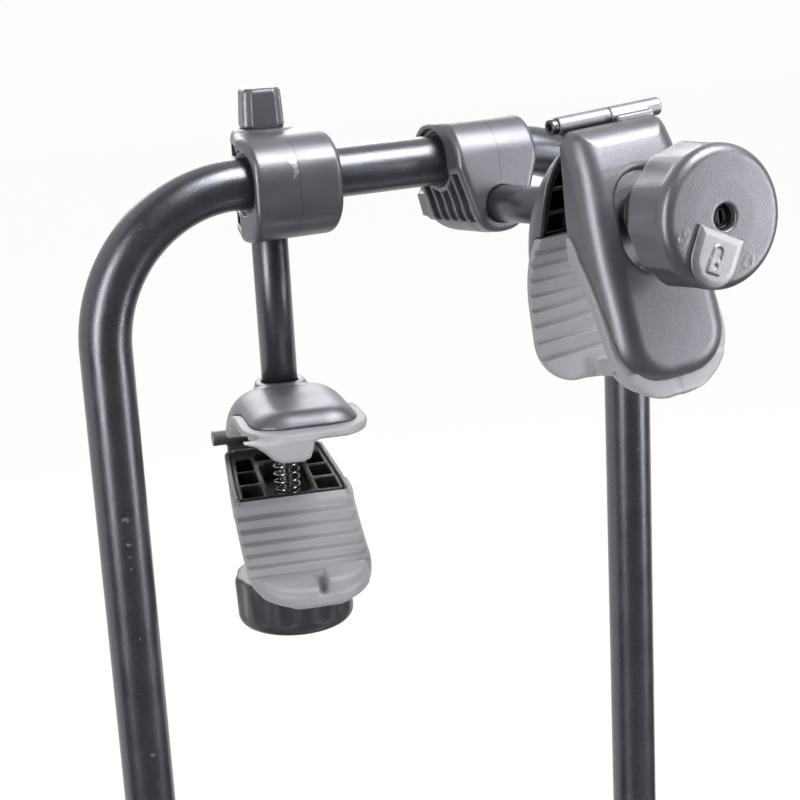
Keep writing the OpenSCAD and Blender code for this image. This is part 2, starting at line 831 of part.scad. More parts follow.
module coupling_housing() {
    color("#2c2e31") difference() {
        union() {
            translate([-housing_w / 2, -housing_half, housing_low])
                cube([housing_w, 2 * housing_half, housing_top - housing_low]);
            for (s = [-1, 1]) {
                translate([s * (beam_w / 2 + clevis_gap + clevis_t / 2), (clevis_end - housing_half) / 2, tilt_z])
                    cube([clevis_t, -clevis_end - housing_half + 0.02, beam_h + 4], center = true);
                translate([s * (hub_w / 2 + free + 5), lever_y, housing_top + (lever_z - housing_top + hub_r) / 2])
                    cube([10, 2 * hub_r, lever_z - housing_top + hub_r + 0.02], center = true);
            }
        }
        translate([0, 0, housing_low - 1]) cylinder(r = ball_hole_d / 2, h = 1 - housing_low);
        sphere(r = ball_hole_d / 2);
        translate([-jaw_w / 2 - free, 10, housing_low - 1])
            cube([jaw_w + 2 * free, housing_half, jaw_top + free - housing_low + 1]);
        translate([0, tilt_y, tilt_z]) rod_x(tilt_pin_d / 2 + run, housing_w + 2);
        translate([0, lever_y, lever_z]) rod_x(pin_d / 2 + run, housing_w);
    }
}

module coupling_jaw() {
    color("#85888c") difference() {
        translate([-jaw_w / 2, 14, housing_low]) cube([jaw_w, housing_half - 15, jaw_top - housing_low]);
        translate([0, 0, housing_low - 1]) cylinder(r = ball_hole_d / 2 + run, h = 1 - housing_low);
        sphere(r = ball_hole_d / 2 + run);
    }
}

module clamp_lever() {
    arm_t = 10;
    color("#b3352c") translate([0, lever_y, lever_z]) difference() {
        union() {
            rod_x(hub_r - 2, hub_w);
            translate([-hub_w / 2 + 4, -lever_len, bar_top - lever_z + 4]) cube([hub_w - 8, lever_len, arm_t - 4]);
            translate([-hub_w / 2, -lever_len, bar_top - lever_z + 3]) cube([hub_w, 70, arm_t]);
        }
        rod_x(pin_d / 2 + run, hub_w + 2);
    }
}

module lever_pin() {
    color("#b9bcc0") translate([0, lever_y, lever_z]) {
        rod_x(pin_d / 2, hub_w + 24);
        for (s = [-1, 1]) rod_x(pin_d / 2 + 2, 2.5, s * (hub_w / 2 + 12 + free));
    }
}

module tilt_pin() {
    across_clevis = beam_w + 2 * clevis_gap + 2 * clevis_t;
    color("#b9bcc0") translate([0, tilt_y, tilt_z]) {
        rod_x(tilt_pin_d / 2, across_clevis + 8);
        for (s = [-1, 1]) rod_x(tilt_pin_d / 2 + 3, 4, s * (across_clevis / 2 + 2 + free));
    }
}

// Platform

rail_y = [frame_y - rail_gap, frame_y - rail_gap - rail_pitch];
rear_y = rail_y[1] - rail_w / 2 - bar;
beam_end = rear_y - bar / 2;

module main_beam() {
    r = beam_h / 2;
    color("#2c2e31") translate([0, 0, tilt_z]) difference() {
        union() {
            translate([0, tilt_y, 0]) rod_x(r, beam_w);
            translate([-beam_w / 2, beam_end, -r]) cube([beam_w, tilt_y - beam_end, beam_h]);
        }
        translate([-beam_w / 2 + bar_wall, beam_end - 1, -r + bar_wall])
            cube([beam_w - 2 * bar_wall, tilt_y - beam_end - r, beam_h - 2 * bar_wall]);
        translate([0, tilt_y, 0]) rod_x(tilt_pin_d / 2 + run, beam_w + 2);
    }
}

cross_len = frame_width + 2 * bar;

module cross_tube(y) {
    color("#2c2e31") translate([0, y, beam_top + seat / 2 + (bar - seat / 2) / 2]) difference() {
        cube([cross_len, bar, bar - seat / 2], center = true);
        cube([cross_len + 2, bar - 2 * bar_wall, bar - 2 * bar_wall], center = true);
    }
}

module side_tube(s) {
    y0 = rear_y + bar / 2 + seat;
    y1 = frame_y - bar / 2 - seat;
    color("#2c2e31") translate([s * leg_x, (y0 + y1) / 2, bar_top - bar / 2]) difference() {
        cube([bar, y1 - y0, bar], center = true);
        cube([bar - 2 * bar_wall, y1 - y0 + 2, bar - 2 * bar_wall], center = true);
    }
}

bracket_h = pivot_z - bar_top + 16;
bracket_inner = tube_d + 2 * free;

module fold_bracket(s) {
    color("#2c2e31") translate([s * leg_x, frame_y, bar_top + seat]) difference() {
        union() {
            translate([-bracket_inner / 2 - plate_t, -bar / 2 - 6, 0]) cube([bracket_inner + 2 * plate_t, bar + 12, plate_t]);
            for (k = [-1, 1]) translate([k * (bracket_inner + plate_t) / 2, 0, bracket_h / 2])
                cube([plate_t, bar + 12, bracket_h], center = true);
        }
        translate([0, 0, pivot_z - bar_top - seat]) rod_x(pin_d / 2 + run, 100);
    }
}

star_r = 21;
star_t = 14;
star_lobes = 5;

// Fold pin with its star-shaped hand knob on the outer end
module fold_pin(s) {
    half = bracket_inner / 2 + plate_t;
    color("#242527") translate([s * leg_x, frame_y, pivot_z]) mirror([s < 0 ? 1 : 0, 0, 0]) {
        rod_x(pin_d / 2, 2 * half + 10, 2);
        translate([half + free, 0, 0]) rotate([0, 90, 0]) difference() {
            cylinder(r = star_r, h = star_t);
            for (i = [0:star_lobes - 1]) rotate([0, 0, 360 * i / star_lobes])
                translate([star_r + 3, 0, -1]) cylinder(r = 8, h = star_t + 2);
        }
    }
}

// Channel profile of a wheel rail, open at the top
module rail_profile(inset) {
    w = rail_w / 2;
    difference() {
        polygon([[-w * 0.55, 0], [w * 0.55, 0], [w, rail_h * 0.6], [w, rail_h], [-w, rail_h], [-w, rail_h * 0.6]]);
        translate([0, inset]) polygon([
            [-w * 0.55 + 1, 0], [w * 0.55 - 1, 0], [w - inset, rail_h * 0.6], [w - inset, rail_h],
            [-w + inset, rail_h], [-w + inset, rail_h * 0.6]
        ]);
    }
}

module rail(y) {
    color("#9a9da1") translate([0, y, bar_top + seat]) rotate([90, 0, 90])
        linear_extrude(rail_len, center = true) rail_profile(rail_t);
}

module rail_caps(y) {
    cap_t = 14;
    w = rail_w / 2;
    color("#1d1e20") for (s = [-1, 1])
        translate([s * (rail_len / 2 + seat + cap_t / 2), y, bar_top + seat]) rotate([90, 0, 90])
            linear_extrude(cap_t, center = true)
                polygon([[-w * 0.55, 0], [w * 0.55, 0], [w, rail_h * 0.6], [w, rail_h + 3], [-w, rail_h + 3], [-w, rail_h * 0.6]]);
}

strap_x = 400;
strap_w = 24;
strap_t = 2.5;
strap_rise = 45;

// Two wheel straps that arch over a rail, each with a ratchet block at its foot
module wheel_straps(y) {
    r = rail_w / 2 + strap_t + seat;
    color("#1d1e20") for (s = [-1, 1]) translate([s * strap_x, y, bar_top + seat]) {
        rotate([90, 0, 90]) linear_extrude(strap_w, center = true) difference() {
            union() {
                translate([0, strap_rise]) circle(r = r);
                translate([-r, rail_h * 0.6 + 1]) square([2 * r, strap_rise - rail_h * 0.6]);
            }
            translate([0, strap_rise]) circle(r = r - strap_t);
            translate([-r + strap_t, 0]) square([2 * r - 2 * strap_t, strap_rise]);
        }
        translate([-strap_w / 2 - 3, -r - 9, rail_h * 0.6 + 1]) cube([strap_w + 6, 9, 34]);
    }
}

board_t = 14;
board_z = bar_top - board_h / 2 + 10;

module lamp_board() {
    color("#1d1e20") difference() {
        translate([-board_w / 2, beam_end - seat - board_t, board_z - board_h / 2]) cube([board_w, board_t, board_h]);
        translate([-board_w / 2 + 12, beam_end - seat - board_t - 1, board_z - board_h / 2 + 10])
            cube([board_w - 24, 4, board_h - 20]);
    }
}

module lamp(s) {
    depth = 46;
    color("#8e1f1b") translate([s * (board_w / 2 + seat + lamp_w / 2), beam_end - seat - board_t + depth / 2, board_z]) difference() {
        cube([lamp_w, depth, board_h], center = true);
        for (k = [-1, 0, 1]) translate([k * lamp_w / 3, -depth / 2, 0]) cube([2, 4, board_h - 12], center = true);
    }
}

u_frame();
sleeve(LEFT);  // left_sleeve
collar(LEFT);  // left_collar
collar_cap(LEFT);  // left_collar_cap
arm(LEFT);  // left_arm
rear_shell(LEFT);  // left_rear_shell
rear_body(LEFT);  // left_rear_body
rear_pad(LEFT);  // left_rear_pad
rear_knuckle(LEFT);  // left_rear_knuckle
front_cover(LEFT);  // left_front_cover
front_body(LEFT);  // left_front_body
front_pad(LEFT);  // left_front_pad
front_knuckle(LEFT);  // left_front_knuckle
hinge_screw(LEFT);  // left_hinge_screw
spring(LEFT);  // left_spring
washer(LEFT);  // left_washer
rod(LEFT);  // left_rod
knob(LEFT);  // left_knob
sleeve(RIGHT);  // right_sleeve
collar(RIGHT);  // right_collar
collar_cap(RIGHT);  // right_collar_cap
arm(RIGHT);  // right_arm
rear_shell(RIGHT);  // right_rear_shell
rear_body(RIGHT);  // right_rear_body
rear_pad(RIGHT);  // right_rear_pad
rear_knuckle(RIGHT);  // right_rear_knuckle
front_cover(RIGHT);  // right_front_cover
front_body(RIGHT);  // right_front_body
front_pad(RIGHT);  // right_front_pad
front_knuckle(RIGHT);  // right_front_knuckle
hinge_screw(RIGHT);  // right_hinge_screw
spring(RIGHT);  // right_spring
washer(RIGHT);  // right_washer
rod(RIGHT);  // right_rod
knob(RIGHT);  // right_knob
lock_cylinder(RIGHT);  // right_lock_cylinder
lock_cover(RIGHT);  // right_lock_cover
coupling_housing();
coupling_jaw();
clamp_lever();
lever_pin();
tilt_pin();
main_beam();
cross_tube(frame_y);  // front_cross_tube
cross_tube(rear_y);  // rear_cross_tube
side_tube(-1);  // left_side_tube
side_tube(1);  // right_side_tube
fold_bracket(-1);  // left_fold_bracket
fold_bracket(1);  // right_fold_bracket
fold_pin(-1);  // left_fold_pin
fold_pin(1);  // right_fold_pin
rail(rail_y[0]);  // front_rail
rail(rail_y[1]);  // rear_rail
rail_caps(rail_y[0]);  // front_rail_caps
rail_caps(rail_y[1]);  // rear_rail_caps
wheel_straps(rail_y[0]);  // front_wheel_straps
wheel_straps(rail_y[1]);  // rear_wheel_straps
lamp_board();
lamp(-1);  // left_lamp
lamp(1);  // right_lamp
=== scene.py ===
import math

import bpy
import numpy as np
from mathutils import Matrix, Vector


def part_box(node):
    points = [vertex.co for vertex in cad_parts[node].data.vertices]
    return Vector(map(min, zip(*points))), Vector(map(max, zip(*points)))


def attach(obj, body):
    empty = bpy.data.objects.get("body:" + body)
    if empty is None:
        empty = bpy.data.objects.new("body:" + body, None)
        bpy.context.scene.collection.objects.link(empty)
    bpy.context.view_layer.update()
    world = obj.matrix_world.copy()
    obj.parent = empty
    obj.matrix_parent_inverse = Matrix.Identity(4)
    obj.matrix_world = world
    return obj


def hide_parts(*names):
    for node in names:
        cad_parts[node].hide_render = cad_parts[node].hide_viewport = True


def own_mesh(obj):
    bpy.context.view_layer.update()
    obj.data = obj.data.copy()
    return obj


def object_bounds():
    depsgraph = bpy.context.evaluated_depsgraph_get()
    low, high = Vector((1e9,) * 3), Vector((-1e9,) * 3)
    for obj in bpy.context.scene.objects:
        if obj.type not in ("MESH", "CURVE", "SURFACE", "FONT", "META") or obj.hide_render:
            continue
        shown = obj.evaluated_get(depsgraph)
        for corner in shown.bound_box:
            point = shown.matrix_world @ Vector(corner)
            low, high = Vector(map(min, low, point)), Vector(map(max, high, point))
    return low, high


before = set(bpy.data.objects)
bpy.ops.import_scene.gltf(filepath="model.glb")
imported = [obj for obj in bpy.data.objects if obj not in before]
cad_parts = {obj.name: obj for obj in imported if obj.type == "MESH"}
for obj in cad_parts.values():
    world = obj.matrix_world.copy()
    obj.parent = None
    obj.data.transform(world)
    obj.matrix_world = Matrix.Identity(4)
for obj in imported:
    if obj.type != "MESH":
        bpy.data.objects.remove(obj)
cad_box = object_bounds()

# Studio: a pale sweep of floor, soft lamps and the camera of the photograph.
# The camera stands low to the left behind the carrier and looks at the clamps.
scene = bpy.context.scene
scene.view_settings.view_transform = "Standard"

camera = bpy.data.cameras.new("camera")
camera.sensor_width = 36
camera.lens = 77.75
camera.clip_end = 60
camera_turn = Matrix(((0.8801, 0.1682, -0.4440), (-0.4719, 0.2081, -0.8567), (-0.0517, 0.9635, 0.2625)))
camera_stand = bpy.data.objects.new("camera", camera)
camera_stand.matrix_world = Matrix.Translation((-0.4693, -1.0488, 0.8761)) @ camera_turn.to_4x4()
scene.collection.objects.link(camera_stand)
scene.camera = camera_stand


def matt_paint(name, colour):
    """A plain matt surface for what stands in the studio"""
    paint = bpy.data.materials.new(name)
    paint.use_nodes = True
    shader = paint.node_tree.nodes["Principled BSDF"]
    shader.inputs["Base Color"].default_value = (*colour, 1)
    shader.inputs["Roughness"].default_value = 0.9
    return paint


FLOOR_DROP, FLOOR_HALF, FLOOR_GLOW, FLOOR_WHITE = 0.25, 9, 1.06, 0.9
floor_mesh = bpy.data.meshes.new("floor")
floor_z = cad_box[0][2] - FLOOR_DROP
floor_corners = [(FLOOR_HALF * x, FLOOR_HALF * y, floor_z) for x, y in ((-1, -1), (1, -1), (1, 1), (-1, 1))]
floor_mesh.from_pydata(floor_corners, [], [(0, 1, 2, 3)])
floor = bpy.data.objects.new("floor", floor_mesh)
scene.collection.objects.link(floor)
floor_paint = matt_paint("pale floor", (0.86, 0.86, 0.87))
floor_mesh.materials.append(floor_paint)


def seen_rays(tree):
    """1 for the camera's own rays and for those that gloss and glass pass on"""
    path = tree.nodes.new("ShaderNodeLightPath")
    total = path.outputs["Is Camera Ray"]
    for name in ("Is Glossy Ray", "Is Transmission Ray"):
        add = tree.nodes.new("ShaderNodeMath")
        add.operation = "MAXIMUM"
        tree.links.new(total, add.inputs[0])
        tree.links.new(path.outputs[name], add.inputs[1])
        total = add.outputs[0]
    return total


def shown_by_ray(tree, others, seen, output):
    """Shows one shader to the rays of seen_rays and the other one to all other rays"""
    pick = tree.nodes.new("ShaderNodeMixShader")
    tree.links.new(seen_rays(tree), pick.inputs[0])
    tree.links.new(others.outputs[0], pick.inputs[1])
    tree.links.new(seen.outputs[0], pick.inputs[2])
    tree.links.new(pick.outputs[0], tree.nodes[output].inputs[0])


paint = floor_paint.node_tree
paper = paint.nodes["Principled BSDF"]
bright = paint.nodes.new("ShaderNodeEmission")
bright.inputs["Color"].default_value = (1, 1, 1, 1)
bright.inputs["Strength"].default_value = FLOOR_GLOW
half = paint.nodes.new("ShaderNodeMixShader")
half.inputs[0].default_value = FLOOR_WHITE
paint.links.new(paper.outputs[0], half.inputs[1])
paint.links.new(bright.outputs[0], half.inputs[2])
shown_by_ray(paint, paper, half, "Material Output")

sky = bpy.data.worlds.new("studio air")
scene.world = sky
sky.use_nodes = True
air = sky.node_tree
lit = air.nodes["Background"]
lit.inputs["Color"].default_value = (0.90, 0.93, 1.0, 1)
lit.inputs["Strength"].default_value = 0.20
seen = air.nodes.new("ShaderNodeBackground")
seen.inputs["Color"].default_value = (0.98, 0.98, 0.98, 1)
shown_by_ray(air, lit, seen, "World Output")

LAMPS = {
    # name: place, point aimed at, width, height, power
    "left soft box": ((-1.75, -1.10, 0.95), (0, -0.13, 0.6), 0.42, 1.9, 38),
    "right soft box": ((1.62, -1.62, 0.60), (0, -0.13, 0.4), 0.42, 1.5, 30),
    "top soft box": ((0.75, -1.15, 2.35), (0, -0.13, 0.7), 1.2, 1.2, 80),
    "back soft box": ((0.5, 1.8, 1.6), (0, -0.13, 0.5), 1.6, 1.0, 24),
}
for name, (place, aim, width, height, power) in LAMPS.items():
    lamp = bpy.data.lights.new(name, "AREA")
    lamp.shape = "RECTANGLE"
    lamp.size, lamp.size_y, lamp.energy = width, height, power
    stand = bpy.data.objects.new(name, lamp)
    stand.location = place
    stand.rotation_euler = (Vector(aim) - Vector(place)).to_track_quat("-Z", "Y").to_euler()
    scene.collection.objects.link(stand)

# Dark cards: they stand beside, above and behind the camera, as round a
# photographer's table, so that smooth surfaces show dark between the lamps.
CARD_AT, CARD_BACK, CARD_LIFT = 4.0, 0.3, 0.004
card_mesh = bpy.data.meshes.new("dark cards")
card_corners = [
    (x, y, z) for x in (-CARD_AT, CARD_AT) for y in (-CARD_AT, CARD_BACK) for z in (floor_z + CARD_LIFT, CARD_AT)
]
card_mesh.from_pydata(card_corners, [], [(0, 1, 3, 2), (4, 6, 7, 5), (0, 4, 5, 1), (1, 5, 7, 3), (0, 2, 6, 4)])
card_mesh.materials.append(matt_paint("dark card", (0.03, 0.03, 0.032)))
cards = bpy.data.objects.new("dark cards", card_mesh)
scene.collection.objects.link(cards)
cards.visible_camera = cards.visible_diffuse = cards.visible_shadow = False

# Frame tube: one 30 mm steel tube bent to a U that stands on the platform.
# It is powder coated in charcoal with a fine metal fleck, chipped in places.
MM = 0.001
TUBE_R, BEND_R, LEG_X, TOP_Z, FRAME_Y, LEG_BOTTOM = 15.0, 85.0, 178.0, 740.0, -130.0, 72.0


def new_noise(tree, coords, size, detail=2.0):
    """Noise whose lumps are about size metres across"""
    noise = tree.nodes.new("ShaderNodeTexNoise")
    noise.inputs["Scale"].default_value = 1 / size
    noise.inputs["Detail"].default_value = detail
    tree.links.new(coords.outputs["Object"], noise.inputs["Vector"])
    return noise.outputs["Fac"]


def ranged(tree, value, low, high, start=0.0, end=1.0):
    """The value, which runs from start to end, spread over low to high"""
    spread = tree.nodes.new("ShaderNodeMapRange")
    tree.links.new(value, spread.inputs["Value"])
    for socket, number in zip(("From Min", "From Max", "To Min", "To Max"), (start, end, low, high)):
        spread.inputs[socket].default_value = number
    return spread.outputs["Result"]


def blended(tree, amount, first, second):
    """Two colours mixed by amount, each given as three numbers or as a socket"""
    mix = tree.nodes.new("ShaderNodeMix")
    mix.data_type = "RGBA"
    tree.links.new(amount, mix.inputs[0])
    for socket, colour in ((mix.inputs[6], first), (mix.inputs[7], second)):
        if isinstance(colour, tuple):
            socket.default_value = (*colour, 1)
        else:
            tree.links.new(colour, socket)
    return mix.outputs[2]


def finish(name, colour, rough, metal=0.0, grain=0.0004, depth=0.00004, cloud=0.10, cloud_size=0.02, fleck=None,
           coat=0.0, sheen=0.5, marks=None):
    """A surface with cloudy colour, uneven gloss and a fine grain that stands up by depth metres"""
    material = bpy.data.materials.new(name)
    material.use_nodes = True
    tree = material.node_tree
    shader = tree.nodes["Principled BSDF"]
    coords = tree.nodes.new("ShaderNodeTexCoord")
    fine = new_noise(tree, coords, grain)
    broad = new_noise(tree, coords, cloud_size, 4)
    dark = tuple(c * (1 - cloud) for c in colour)
    light = tuple(c * (1 + cloud) for c in colour)
    shade = blended(tree, ranged(tree, broad, 0, 1, 0.35, 0.65), dark, light)
    speck = ranged(tree, fine, 0, 1, 0.3, 0.7)
    shade = blended(tree, speck, shade, tuple(c * (1 + 1.5 * cloud) for c in colour))
    gloss = ranged(tree, broad, rough - 0.04, rough + 0.05, 0.3, 0.7)
    if fleck:
        spark = new_noise(tree, coords, 1.6 * grain, 0)
        shade = blended(tree, ranged(tree, spark, 0, 1, 0.60, 0.70), shade, fleck)
    if coat:
        shader.inputs["Coat Weight"].default_value = coat
        shader.inputs["Coat Roughness"].default_value = 0.25
    if marks:
        shade, gloss = marks(tree, coords, shade, gloss)
    tree.links.new(shade, shader.inputs["Base Color"])
    tree.links.new(gloss, shader.inputs["Roughness"])
    shader.inputs["Metallic"].default_value = metal
    shader.inputs["Specular IOR Level"].default_value = sheen
    bump = tree.nodes.new("ShaderNodeBump")
    bump.inputs["Strength"].default_value = 0.6
    bump.inputs["Distance"].default_value = depth
    tree.links.new(fine, bump.inputs["Height"])
    tree.links.new(bump.outputs["Normal"], shader.inputs["Normal"])
    return material


def near(tree, coords, spot, reach, ragged=0.0015):
    """1 at a spot on the surface, fading to 0 with a ragged edge at reach metres"""
    ruffle = new_noise(tree, coords, 1 / 420)
    gap = tree.nodes.new("ShaderNodeVectorMath")
    gap.operation = "DISTANCE"
    tree.links.new(coords.outputs["Object"], gap.inputs[0])
    gap.inputs[1].default_value = spot
    add = tree.nodes.new("ShaderNodeMath")
    add.operation = "MULTIPLY_ADD"
    tree.links.new(ruffle, add.inputs[0])
    add.inputs[1].default_value = ragged * 4
    tree.links.new(gap.outputs["Value"], add.inputs[2])
    return ranged(tree, add.outputs[0], 1, 0, reach + ragged, reach + 1.6 * ragged)


CHIPS = [
    # place on the tube in metres, size in metres
    ((-0.1813, -0.1446, 0.5595), 0.0026), ((-0.1810, -0.1447, 0.5443), 0.0017),
    ((-0.1806, -0.1448, 0.5363), 0.0013), ((-0.1801, -0.1449, 0.5289), 0.0017),
    ((-0.1795, -0.1449, 0.4854), 0.0015), ((-0.1791, -0.1450, 0.4117), 0.0020),
    ((0.1755, -0.1448, 0.5352), 0.0012),
]
BARE_STEEL = (0.42, 0.43, 0.45)


def chipped(tree, coords, shade, gloss):
    """Bare steel where the coat is chipped off the tube"""
    for spot, reach in CHIPS:
        shade = blended(tree, near(tree, coords, spot, reach), shade, BARE_STEEL)
    return shade, gloss


def swept_tube(name, path, radius, material, sides=48):
    """A tube skin along path, a list of points in millimetres, closed by a flat disc at each end"""
    path = [Vector(p) for p in path]
    verts, faces = [], []
    side = Vector((0, 1, 0))
    for i, point in enumerate(path):
        along = (path[min(i + 1, len(path) - 1)] - path[max(i - 1, 0)]).normalized()
        up = along.cross(side).normalized()
        out = up.cross(along).normalized()
        for k in range(sides):
            a = 2 * math.pi * k / sides
            verts.append((point + radius * (math.cos(a) * out + math.sin(a) * up)) * MM)
    for i in range(len(path) - 1):
        for k in range(sides):
            a, b = i * sides + k, i * sides + (k + 1) % sides
            faces.append((a, b, b + sides, a + sides))
    faces.append(tuple(range(sides))[::-1])
    faces.append(tuple(range(len(verts) - sides, len(verts))))
    mesh = bpy.data.meshes.new(name)
    mesh.from_pydata(verts, [], faces)
    for face in mesh.polygons:
        face.use_smooth = len(face.vertices) == 4
    mesh.materials.append(material)
    piece = bpy.data.objects.new(name, mesh)
    scene.collection.objects.link(piece)
    return piece


charcoal = finish("charcoal powder coat", (0.092, 0.095, 0.108), 0.31, metal=0.85, grain=0.0008, depth=0.00014,
                  cloud=0.10, fleck=(0.125, 0.128, 0.142), marks=chipped)
bends = [
    (side * (LEG_X - BEND_R + BEND_R * math.sin(a)), FRAME_Y, TOP_Z - BEND_R + BEND_R * math.cos(a))
    for side, angles in ((-1, range(90, -1, -3)), (1, range(0, 91, 3)))
    for a in map(math.radians, angles)
]
heights = [LEG_BOTTOM + (TOP_Z - BEND_R - LEG_BOTTOM) * k / 12 for k in range(12)]
route = [(-LEG_X, FRAME_Y, z) for z in heights] + bends + [(LEG_X, FRAME_Y, z) for z in reversed(heights)]
frame_tube = swept_tube("frame_tube", route, TUBE_R, charcoal, 64)
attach(frame_tube, "frame")
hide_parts("u_frame")

# Collars: moulded grey plastic bodies that slide and turn on the top tube.
# Each has a smooth wide side, a lobe that holds its arm, and ribbed slanted ends.
HOLDERS = {
    # side: place along the tube, turn about it, reach of the arm, swivel of the clamp, opening of the jaw
    "left": (-61.0, 0.0, 127.5, -13.5, 10.0),
    "right": (64.0, -94.5, 102.0, 175.7, 0.0),
}
ARM_Y = 28.0
COLLAR_LOW, COLLAR_HIGH, COLLAR_W, COLLAR_FRONT, LOBE_R = 35.0, 26.0, 55.0, 24.0, 18.5


def turned(axis, angle):
    return Matrix.Rotation(math.radians(angle), 4, axis)


def holder_place(side):
    """From a holder's own millimetres, with the tube along X and the arm along -Z, to the carrier's metres"""
    x, turn = HOLDERS[side][:2]
    return Matrix.Scale(MM, 4) @ Matrix.Translation((x, FRAME_Y, TOP_Z)) @ turned("X", turn)


def arc(cx, cy, r, start, end, steps=16):
    angles = np.radians(np.linspace(start, end, steps + 1))
    return [(cx + r * math.cos(a), cy + r * math.sin(a)) for a in angles]


def outline_field(points):
    """Signed distance to a closed outline in a plane, below zero inside"""
    starts = [(float(x), float(y)) for x, y in points]

    def field(x, y):
        x, y = np.broadcast_arrays(np.asarray(x, float), np.asarray(y, float))
        best = np.full(x.shape, 1e9)
        outside = np.ones(x.shape)
        for (ax, ay), (bx, by) in zip(starts, starts[1:] + starts[:1]):
            ex, ey, wx, wy = bx - ax, by - ay, x - ax, y - ay
            if ex == 0 and ey == 0:
                continue
            t = np.clip((wx * ex + wy * ey) / (ex * ex + ey * ey), 0, 1)
            best = np.minimum(best, (wx - ex * t) ** 2 + (wy - ey * t) ** 2)
            below, above, left = y >= ay, y < by, ex * wy > ey * wx
            outside = np.where((below & above & left) | (~below & ~above & ~left), -outside, outside)
        return outside * np.sqrt(best)

    return field


def both(a, b, r=0.0):
    """Inside a and inside b, with an edge of radius r where they meet"""
    if not r:
        return np.maximum(a, b)
    return np.minimum(-r, np.maximum(a, b)) + np.hypot(np.maximum(a + r, 0), np.maximum(b + r, 0))


def either(a, b, r=0.0):
    """Inside a or inside b, with a fillet of radius r where they meet"""
    if not r:
        return np.minimum(a, b)
    return np.maximum(r, np.minimum(a, b)) - np.hypot(np.maximum(r - a, 0), np.maximum(r - b, 0))


def without(a, b, r=0.0):
    return both(a, -b, r)


def slab(v, low, high):
    """Between two parallel planes"""
    return np.maximum(low - v, v - high)


def moulding(shape, low, high, cell=1.0):
    """Corners and four-sided faces of the skin of shape, a field below zero inside, in millimetres"""
    axes = [np.arange(low[i] - 1.5 * cell, high[i] + 2.5 * cell, cell) for i in range(3)]
    grid = [axes[0][:, None, None], axes[1][None, :, None], axes[2][None, None, :]]
    field = np.broadcast_to(shape(*grid), tuple(len(a) for a in axes)).astype(float)
    cells = tuple(n - 1 for n in field.shape)
    total = np.zeros((3,) + cells)
    count = np.zeros(cells)
    inside = field < 0
    crossings = []
    for axis in range(3):
        u, v = (axis + 1) % 3, (axis + 2) % 3
        here = [slice(None)] * 3
        there = [slice(None)] * 3
        here[axis], there[axis] = slice(0, -1), slice(1, None)
        a, b = field[tuple(here)], field[tuple(there)]
        cross = np.argwhere(inside[tuple(here)] != inside[tuple(there)])
        keep = (cross[:, u] > 0) & (cross[:, v] > 0) & (cross[:, u] < cells[u]) & (cross[:, v] < cells[v])
        cross = cross[keep]
        av, bv = a[tuple(cross.T)], b[tuple(cross.T)]
        point = np.stack([axes[i][cross[:, i]] for i in range(3)])
        point[axis] += cell * av / (av - bv)
        around = []
        for du, dv in ((0, 0), (1, 0), (1, 1), (0, 1)):
            at = cross.copy()
            at[:, u] -= du
            at[:, v] -= dv
            where = tuple(at.T)
            for i in range(3):
                np.add.at(total[i], where, point[i])
            np.add.at(count, where, 1)
            around.append(at)
        crossings.append((around, av < 0))
    used = count > 0
    number = np.full(cells, -1)
    number[used] = np.arange(used.sum())
    points = [total[i][used] / count[used] for i in range(3)]
    for _ in range(3):
        here = shape(*points)
        slope = [(shape(*[p + (0.05 if k == i else 0) for k, p in enumerate(points)])
                  - shape(*[p - (0.05 if k == i else 0) for k, p in enumerate(points)])) / 0.1 for i in range(3)]
        size = np.maximum(sum(s * s for s in slope), 0.2)
        step = np.clip(here / size, -0.3 * cell, 0.3 * cell)
        points = [p - step * s for p, s in zip(points, slope)]
    faces = []
    for around, outward in crossings:
        quad = np.stack([number[tuple(at.T)] for at in around], axis=1)
        faces.append(np.where(outward[:, None], quad, quad[:, ::-1]))
    return np.stack(points, axis=1), np.concatenate(faces)


def fitted(name, skin, place, material, body, nodes):
    """Puts a moulding in its place on the carrier, in place of the CAD solids named in nodes"""
    points, faces = skin
    matrix = np.array(place)
    points = points @ matrix[:3, :3].T + matrix[:3, 3]
    mesh = bpy.data.meshes.new(name)
    mesh.vertices.add(len(points))
    mesh.vertices.foreach_set("co", points.astype(np.float32).ravel())
    mesh.loops.add(faces.size)
    mesh.loops.foreach_set("vertex_index", faces.astype(np.int32).ravel())
    mesh.polygons.add(len(faces))
    mesh.polygons.foreach_set("loop_start", np.arange(0, faces.size, 4, dtype=np.int32))
    mesh.update(calc_edges=True)
    mesh.shade_smooth()
    mesh.materials.append(material)
    piece = bpy.data.objects.new(name, mesh)
    scene.collection.objects.link(piece)
    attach(piece, body)
    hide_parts(*nodes)
    return piece


def fitted_side(side, name, skin, place, material, body, node):
    """Fits a moulding that both holders have, in place of the side's own CAD solid"""
    return fitted(f"{side}_{name}", skin, place, material, f"{side}_{body}", [f"{side}_{node}"])


half_w, slant = COLLAR_W / 2, 4.0
lean = math.degrees(math.atan2(slant - ARM_Y, half_w) + math.acos(LOBE_R / math.hypot(half_w, slant - ARM_Y)))
collar_plan = outline_field(
    [(-half_w, slant)] + arc(4 - half_w, 4 - COLLAR_FRONT, 4, 180, 270) + arc(half_w - 4, 4 - COLLAR_FRONT, 4, -90, 0)
    + [(half_w, slant)] + arc(0, ARM_Y, LOBE_R, lean, 180 - lean, 32))
collar_side = outline_field(
    arc(26 - COLLAR_FRONT, 26 - COLLAR_LOW, 26, 180, 270, 24) + arc(ARM_Y + LOBE_R - 6, 6 - COLLAR_LOW, 6, 270, 360)
    + arc(ARM_Y + LOBE_R - 14, COLLAR_HIGH - 14, 14, 0, 90)
    + arc(26 - COLLAR_FRONT, COLLAR_HIGH - 26, 26, 90, 180, 24))
RIB_PITCH, POCKET = 10.17, 7.8
